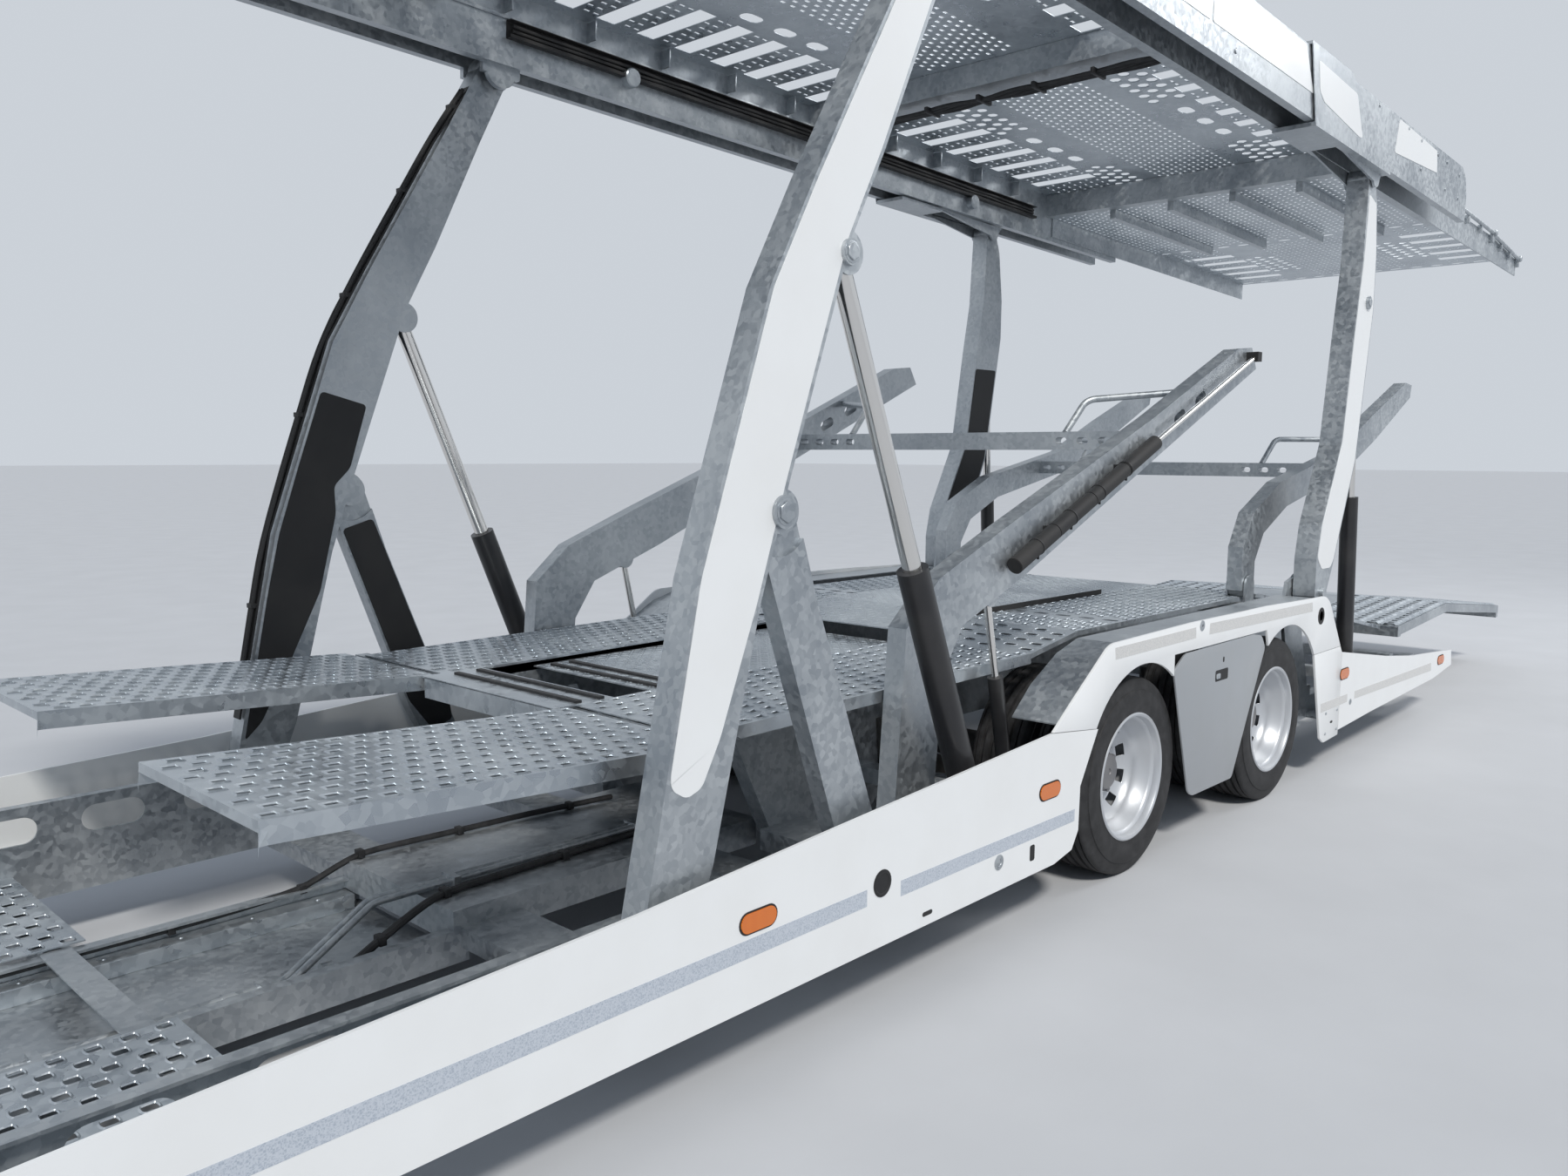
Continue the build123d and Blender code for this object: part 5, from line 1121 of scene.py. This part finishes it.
# Bolt heads on the white panels: X, Z, radius
BOLTS = [(995, 307, 26), (-502, 938, 22), (-502, 938, 12), (-2412, 330, 16), (-2044, 323, 8),
         (-2211, 318, 8), (-2046, 216, 8), (-2211, 216, 8)]
black_parts = [slot_plate(*row, SKIRT_FACE_Y, 0.8) for row in BLACK_PLATES]
black_parts += [slot_plate(*row, PANEL_FACE_Y, 0.8) for row in LATCH_PLATES]
black_parts += [slot_plate(x, z, 142, 62, 30.9, SKIRT_FACE_Y, 1.2) for x, z in LAMPS]
black_parts += [stud(x, z, SKIRT_FACE_Y, radius, 2.6, radius * 0.78) for x, z, radius in BLACK_PLUGS]
make_piece("skirt_plugs_black", both_sides(join(black_parts)), BLACK_PATCH, "chassis", 30)
bolt_heads = [stud(x, z, SKIRT_FACE_Y, radius, 3.2, radius * 0.5) for x, z, radius in BOLTS]
bolt_heads.append(slot_plate(*LATCH_LEVER, PANEL_FACE_Y, 3.0))
make_piece("skirt_bolts", both_sides(join(bolt_heads)), ZINC, "chassis", 30)
print("skirt fittings", len(black_parts) + len(bolt_heads))

# %% Nuts on the arms' pins
# Pins: X, Z, face's Y, nut's radius, body
PIN_NUTS = [(1975, 1487, 1226.0, 30.0, "front_arms"), (1720, 2179, 1226.0, 24.0, "front_arms"),
            (-2500, 2438, 1227.0, 22.0, "rear_arms")]
NUT_PROUD = 6.0
NUT_EDGE = 1.5
for number, (x, z, face_y, radius, body) in enumerate(PIN_NUTS, start=1):
    washer = stud(x, z, face_y, radius + 6, 2.0)
    place = Matrix.Translation(at(x, face_y + 1 + NUT_PROUD / 2, z)) @ Matrix.Rotation(math.pi / 2, 4, "X")
    head = cone(place, 6, radius, NUT_PROUD)
    bevel(head, head.edges, NUT_EDGE, "EDGES", 1)
    make_piece(f"pin_nut_{number}", both_sides(join([washer, head])), ZINC, body, 30)

# %% [markdown]
# ## Bars, tubes and looms
# The deck's hoses run inside its side beams in black channels, and the chassis cables lie in looms that
# are clipped along the trough. A channel is an outline pulled along the trailer. A loom is a spline with
# a round bevel, made a mesh at once, with a clip where it is held down.

# %% Looms
LOOM_SIDES = 2


def loom(route, radius):
    """A bundle of cables or a tube along points of (X, Y, Z), as a bmesh."""
    curve = bpy.data.curves.new("loom", "CURVE")
    curve.dimensions = "3D"
    curve.bevel_depth = radius * MM
    curve.bevel_resolution = LOOM_SIDES
    curve.use_fill_caps = True
    spline = curve.splines.new("NURBS")
    spline.points.add(len(route) - 1)
    for point, place in zip(spline.points, route):
        point.co = (*at(*place), 1.0)
    spline.order_u = 3
    spline.use_endpoint_u = True
    spline.resolution_u = 3
    holder = bpy.data.objects.new("loom", curve)
    mesh = bpy.data.meshes.new_from_object(holder)
    bm = bmesh.new()
    bm.from_mesh(mesh)
    bmesh.ops.remove_doubles(bm, verts=list(bm.verts), dist=TINY)
    bmesh.ops.recalc_face_normals(bm, faces=list(bm.faces))
    bpy.data.objects.remove(holder)
    bpy.data.curves.remove(curve)
    bpy.data.meshes.remove(mesh)
    return bm


def points_between(first, last, count, sway, phase=0.0):
    """Points along a straight run that wander a little to both sides, as a clipped loom does."""
    route = []
    for index in range(count):
        share = index / (count - 1)
        place = [low + (high - low) * share for low, high in zip(first, last)]
        place[1] += sway * math.sin(index * 2.4 + phase)
        place[2] += sway * 0.5 * math.sin(index * 1.7 + phase)
        route.append(tuple(place))
    return route


def clips(route, step, length, reach, height):
    """A clip over every few points of a loom's route."""
    return [block(x - length / 2, x + length / 2, y - reach, y + reach, z - height, z + height, edge=2.0)
            for x, y, z in route[1:-1:step]]


# %% Channels in the deck's beams
BEAM_INNER_Y = 1054.0
CHANNEL_FRONT, CHANNEL_REAR = 1260.0, -2870.0
CHANNEL_LOW, CHANNEL_HIGH = 106.0, 180.0
CHANNEL_DEPTH = 34.0
CHANNEL_WALL = 3.0
CHANNEL_LIP = 14
inner_y = BEAM_INNER_Y - CHANNEL_DEPTH
wall_y = BEAM_INNER_Y - CHANNEL_WALL
lip_y = inner_y + CHANNEL_WALL
low_z, high_z = CHANNEL_LOW + CHANNEL_WALL, CHANNEL_HIGH - CHANNEL_WALL
channel_section = [(BEAM_INNER_Y, CHANNEL_LOW), (inner_y, CHANNEL_LOW), (inner_y, CHANNEL_LOW + CHANNEL_LIP),
                   (lip_y, CHANNEL_LOW + CHANNEL_LIP), (lip_y, low_z), (wall_y, low_z), (wall_y, high_z),
                   (inner_y, high_z), (inner_y, CHANNEL_HIGH), (BEAM_INNER_Y, CHANNEL_HIGH)]
channel_parts = [bar(channel_section, CHANNEL_REAR, CHANNEL_FRONT)]
hose_y = BEAM_INNER_Y - 18
for height, phase in ((119.0, 0.0), (137.0, 1.3), (156.0, 2.9)):
    ends = (CHANNEL_REAR + 20, hose_y, height), (CHANNEL_FRONT - 20, hose_y, height)
    channel_parts.append(loom(points_between(*ends, 30, 4.0, phase), 8.0))
make_piece("hose_channels", both_sides(on_deck(join(channel_parts))), BLACK_PATCH, "upper_deck", 40)

# %% Bosses, brackets and bolts on the beams
BOSSES = [(610, 110), (-2136, 74)]
BOSS_RADIUS, BOSS_LENGTH = 42.0, 46.0
BOSS_EDGE = 5
# Bolt heads on the beams' outer face, in the deck's frame: X, Z
BEAM_BOLTS = [(-3106, 120), (-3078, 268), (-2358, 280), (-2846, 280), (-3408, 262), (-3597, 260),
              (-3593, 106), (-3860, 106), (-3860, 240), (-600, 60), (600, 60), (1800, 60), (3000, 60)]
boss_end = BEAM_INNER_Y - BOSS_LENGTH
boss = [(BEAM_INNER_Y, BOSS_RADIUS), (boss_end + BOSS_EDGE, BOSS_RADIUS),
        (boss_end, BOSS_RADIUS - BOSS_EDGE), (boss_end, 0)]
beam_parts = [spun(boss, place, 32) for place in BOSSES]
for x in range(-2600, 4200, 430):
    beam_parts.append(block(x - 4, x + 4, BEAM_INNER_Y - 60, BEAM_INNER_Y, 205, 288, edge=1.0))
beam_parts.append(block(CHANNEL_REAR, 4300, BEAM_INNER_Y - 8, BEAM_INNER_Y, 184, 200, edge=2.0))
beam_parts += [stud(x, z, BEAM_FACE_Y, 11.0, 5.0) for x, z in BEAM_BOLTS]
make_piece("beam_bosses", both_sides(on_deck(join(beam_parts))), ZINC, "upper_deck", 30)

# %% The loom across the deck
CROSS_X = -700.0
CROSS_REACH = 1030
CROSS_POINTS = 22
cross_parts = []
for offset, phase in ((-30, 0.0), (-10, 1.1), (12, 2.3), (32, 3.6)):
    route = [(CROSS_X + offset + 9 * math.sin(index * 1.9 + phase),
              -CROSS_REACH + 2 * CROSS_REACH * index / (CROSS_POINTS - 1),
              138 + 5 * math.sin(index * 1.3 + phase)) for index in range(CROSS_POINTS)]
    cross_parts.append(loom(route, 9.0))
for y in range(-900, 901, 300):
    cross_parts.append(block(CROSS_X - 58, CROSS_X + 58, y - 9, y + 9, 124, 152, edge=3.0))
make_piece("deck_cross_loom", on_deck(join(cross_parts)), RUBBER, "upper_deck", 40)

# %% [markdown]
# ## Rails along the rear of the deck
# Two tubes on short brackets run along each side of the deck's rear section, for the straps. Each ends in
# a knob.

# %% Strap rails
RAIL_Y = 1076.0
RAIL_RADIUS = 13.0
KNOB = [(RAIL_Y + 22, 0), (RAIL_Y + 22, 16), (RAIL_Y + 16, 22), (RAIL_Y - 16, 22), (RAIL_Y - 22, 16),
        (RAIL_Y - 22, 0)]
rails = []
for (x_front, z_front), (x_rear, z_rear) in (((-4560, 232), (-5560, 212)), ((-5540, 205), (-6330, 150))):
    run = points_between((x_front, RAIL_Y, z_front), (x_rear, RAIL_Y, z_rear), 4, 0.0)
    rails.append(loom(run, RAIL_RADIUS))
    for x, y, z in run:
        rails.append(block(x - 12, x + 12, 1050, RAIL_Y + 4, z - 60, z - 6, edge=2.0))
    rails.append(spun(KNOB, (x_rear, z_rear), 24))
make_piece("strap_rails", both_sides(on_deck(join(rails))), ZINC, "upper_deck", 30)

# %% [markdown]
# ## Trough and front arm
# Black looms lie along both sides of the trough and climb over the step onto the box behind it. A flat
# duct with small bolts runs along its far side. The right front arm carries two hoses and a black guard
# on its front edge.

# %% Trough
FAR_LOOM = [(3690, -326, 224), (3500, -322, 222), (3250, -327, 225), (3000, -322, 222), (2760, -327, 226),
            (2600, -318, 240), (2500, -306, 284), (2410, -298, 316), (2250, -290, 316), (2050, -276, 315),
            (1800, -262, 316), (1600, -240, 315), (1420, -214, 316)]
NEAR_LOOM = [(3690, 312, 168), (3450, 306, 166), (3200, 311, 168), (2950, 300, 170), (2800, 296, 190),
             (2640, 262, 250), (2480, 232, 304), (2400, 214, 314), (2200, 205, 314), (1950, 198, 315),
             (1700, 190, 314), (1420, 176, 315)]
DUCT_TOP = 197
BOLT_HEIGHT = 3
duct = [block(2450, 3640, -331, -262, 148, DUCT_TOP, edge=2.5)]
for x in range(2560, 3600, 210):
    place = Matrix.Translation(at(x, -297, DUCT_TOP + BOLT_HEIGHT / 2))
    duct.append(cone(place, 16, 7, BOLT_HEIGHT, top=0.8))
make_piece("trough_duct", join(duct), ZINC_SHEET, "chassis", 30)
beside = [(x, y - 15, z - 2) for x, y, z in NEAR_LOOM]
looms = [loom(FAR_LOOM, 11.0), loom(beside, 7.0), loom(NEAR_LOOM, 12.0)]
looms += clips(FAR_LOOM, 2, 22.0, 16.0, 13.0) + clips(NEAR_LOOM, 2, 22.0, 20.0, 14.0)
make_piece("trough_looms", join(looms), RUBBER, "chassis", 40)

# %% Guard and hoses on the right front arm
ARM_EDGE = [(1380, 3150), (1560, 2888), (1877, 2354), (2043, 2064), (2298, 1333), (2440, 640)]
GUARD_Y = (-1180.0, -1128.0)


def hose_route(y, phase):
    """A hose's points, which follow the arm's front edge and sway a little."""
    route = []
    for (x, z), (next_x, next_z) in zip(ARM_EDGE, ARM_EDGE[1:]):
        for share in (0.1, 0.4, 0.7):
            sway = 3 * math.sin(len(route) * 1.8 + phase)
            route.append((x + (next_x - x) * share + 17, y + sway, z + (next_z - z) * share + 7))
    return route


routes = [hose_route(-1140, 0.0), hose_route(-1158, 1.5)]
guard = [plate(ARM_EDGE + [(x + 7, z + 3) for x, z in reversed(ARM_EDGE)], *GUARD_Y)]
guard += [loom(route, 8.0) for route in routes]
guard += [block(x - 16, x + 10, -1172, -1130, z - 9, z + 9, edge=2.0) for x, y, z in routes[-1][1::3]]
make_piece("arm_guard_right", join(guard), BLACK_PATCH, "front_arms", 40)

# %% [markdown]
# ## Cross plates between the tracks
# A plate joins the tracks behind the planks' hinges, with flanges folded down at its front and its rear.
# Black strips lie across it, and across the front of the chequer plate, so that a shoe doesn't slip.

# %% Cross plates
PLATE_HALF, FLANGE_HALF = 384.0, 372
STRIP_WIDTH, STRIP_HEIGHT = 22.0, 9.0
cross_plate = [block(1876, 2112, -PLATE_HALF, PLATE_HALF, 854, 861, edge=1.0),
               block(2106, 2112, -FLANGE_HALF, FLANGE_HALF, 785, 858, edge=1.0),
               block(1876, 1882, -FLANGE_HALF, FLANGE_HALF, 815, 858, edge=1.0)]
make_piece("hinge_cross_plate", join(cross_plate), ZINC_SHEET, "chassis")
strips = [block(x - STRIP_WIDTH / 2, x + STRIP_WIDTH / 2, -330, 376, top - 1, top + STRIP_HEIGHT, edge=2.0)
          for x, top in ((2010, 861), (1921, 861), (1600, 841), (1515, 841))]
make_piece("grip_strips", join(strips), RUBBER, "chassis")

# %% [markdown]
# ## Ties on the levers' long cylinders
# Each sleeve is held by four ties, and a tie's tail sticks out below it. Every tie is a short cylinder
# whose axis is the sleeve's own. The couplings of the trough's pipes are made in the same way.

# %% Ties and couplings
SLEEVE_START, SLEEVE_END = (640.0, 1247.0), (-407.0, 1690.0)
SLEEVE_Y = 1079.0
SLEEVE_RADIUS = 31.0
TIE_SHARES = [0.14, 0.36, 0.56, 0.76]


def band(start, end, share, y, radius, length):
    """A short cylinder around a line between two points of (X, Z)."""
    first, last = at(start[0], y, start[1]), at(end[0], y, end[1])
    turn = (last - first).to_track_quat("Z", "Y").to_matrix().to_4x4()
    return cone(Matrix.Translation(first.lerp(last, share)) @ turn, 32, radius, length)


ties = []
for share in TIE_SHARES:
    ties.append(band(SLEEVE_START, SLEEVE_END, share, SLEEVE_Y, SLEEVE_RADIUS + 2.0, 7.0))
    x, z = (start + (end - start) * share for start, end in zip(SLEEVE_START, SLEEVE_END))
    ties.append(block(x - 13, x - 6, SLEEVE_Y - 4, SLEEVE_Y + 4, z - SLEEVE_RADIUS - 16,
                      z - SLEEVE_RADIUS + 6, edge=1.0))
make_piece("sleeve_ties", both_sides(join(ties)), RUBBER, "front_levers", 30)
couplings = [band((x, 200), (x + 60, 200), 0.0, y, 15.0, 34.0)
             for y in (215, 245) for x in (2780, 3050, 3560)]
make_piece("pipe_couplings", join(couplings), ZINC, "chassis", 30)
print("ties", len(TIE_SHARES), "couplings", len(couplings))

# %% [markdown]
# ## Stage, light and camera
# A pale floor and a pale surround keep the zinc readable. The camera stands where the photograph was
# taken: in front of the trailer's left side, at eye height, with a wide lens.

# %% Stage and lamps
FLOOR_COLOUR = (0.57, 0.58, 0.60)
FLOOR_HALF = 150.0
SURROUND = (0.60, 0.64, 0.69)
SKY_LIGHT = (0.36, 0.41, 0.48)
SUN_STRENGTH = 2.3
SUN_ANGLE = math.radians(9.0)
SUN_COLOUR = (1.0, 0.97, 0.92)
SUN_FROM = Vector((0.42, 0.55, 0.72))
KEY_PLACE, KEY_TARGET = Vector((-9.0, 5.0, 8.0)), Vector((-1.0, 0.0, 2.0))
KEY_SIZE, KEY_POWER = 4.0, 260.0


def add_floor():
    bm = bmesh.new()
    bmesh.ops.create_grid(bm, x_segments=1, y_segments=1, size=FLOOR_HALF)
    floor = add_object("floor", mesh_from("floor", bm))
    finish = Finish("floor_grey", colour=FLOOR_COLOUR, roughness=0.9)
    tone = finish.between(finish.noise(2.0, 5.0), 0.3, 0.7)
    darker = tuple(channel * 0.95 for channel in FLOOR_COLOUR)
    floor.data.materials.append(finish.link(Base_Color=finish.mix(tone, darker, FLOOR_COLOUR)))


def aimed(light, direction):
    """Puts a light into the scene, shining along a direction."""
    holder = add_object(light.name, light)
    holder.rotation_euler = direction.to_track_quat("-Z", "Y").to_euler()
    return holder


def add_lights():
    sun = bpy.data.lights.new("sun", "SUN")
    sun.energy = SUN_STRENGTH
    sun.angle = SUN_ANGLE
    sun.color = SUN_COLOUR
    aimed(sun, -SUN_FROM)
    key = bpy.data.lights.new("rear_key", "AREA")
    key.shape = "DISK"
    key.size = KEY_SIZE
    key.energy = KEY_POWER
    aimed(key, KEY_TARGET - KEY_PLACE).location = KEY_PLACE


def add_world():
    """The surround: pale to the camera and in reflections, and dimmer as a light."""
    world = bpy.data.worlds.new("studio")
    bpy.context.scene.world = world
    world.use_nodes = True
    tree = world.node_tree
    rays = tree.nodes.new("ShaderNodeLightPath")
    seen = rays.outputs["Is Camera Ray"]
    for ray in ("Is Glossy Ray", "Is Transmission Ray"):
        either = tree.nodes.new("ShaderNodeMath")
        either.operation = "MAXIMUM"
        tree.links.new(seen, either.inputs[0])
        tree.links.new(rays.outputs[ray], either.inputs[1])
        seen = either.outputs[0]
    colour = tree.nodes.new("ShaderNodeMix")
    colour.data_type = "RGBA"
    colour.inputs[6].default_value = (*SKY_LIGHT, 1.0)
    colour.inputs[7].default_value = (*SURROUND, 1.0)
    tree.links.new(seen, colour.inputs[0])
    background = tree.nodes["Background"]
    tree.links.new(colour.outputs[2], background.inputs["Color"])
    background.inputs["Strength"].default_value = 1.0


add_floor()
add_lights()
add_world()

# %% The camera
IMAGE_WIDTH = 1800
FOCAL_PIXELS = 1365.15
SENSOR_MM = 36.0
CAMERA_PLACE = Vector((4.860, 3.337, 1.637))
YAW = math.radians(43.104)
PITCH = math.radians(6.43)
ROLL = 0.00406
view = bpy.data.cameras.new("camera")
view.sensor_width = SENSOR_MM
view.lens = FOCAL_PIXELS * SENSOR_MM / IMAGE_WIDTH
camera = add_object("camera", view)
aim = Vector((-math.cos(YAW) * math.cos(PITCH), -math.sin(YAW) * math.cos(PITCH), -math.sin(PITCH)))
turn = aim.to_track_quat("-Z", "Y").to_matrix().to_4x4()
camera.matrix_world = Matrix.Translation(CAMERA_PLACE) @ turn @ Matrix.Rotation(ROLL, 4, "Z")
bpy.context.scene.camera = camera
bpy.context.scene.view_settings.view_transform = "Standard"
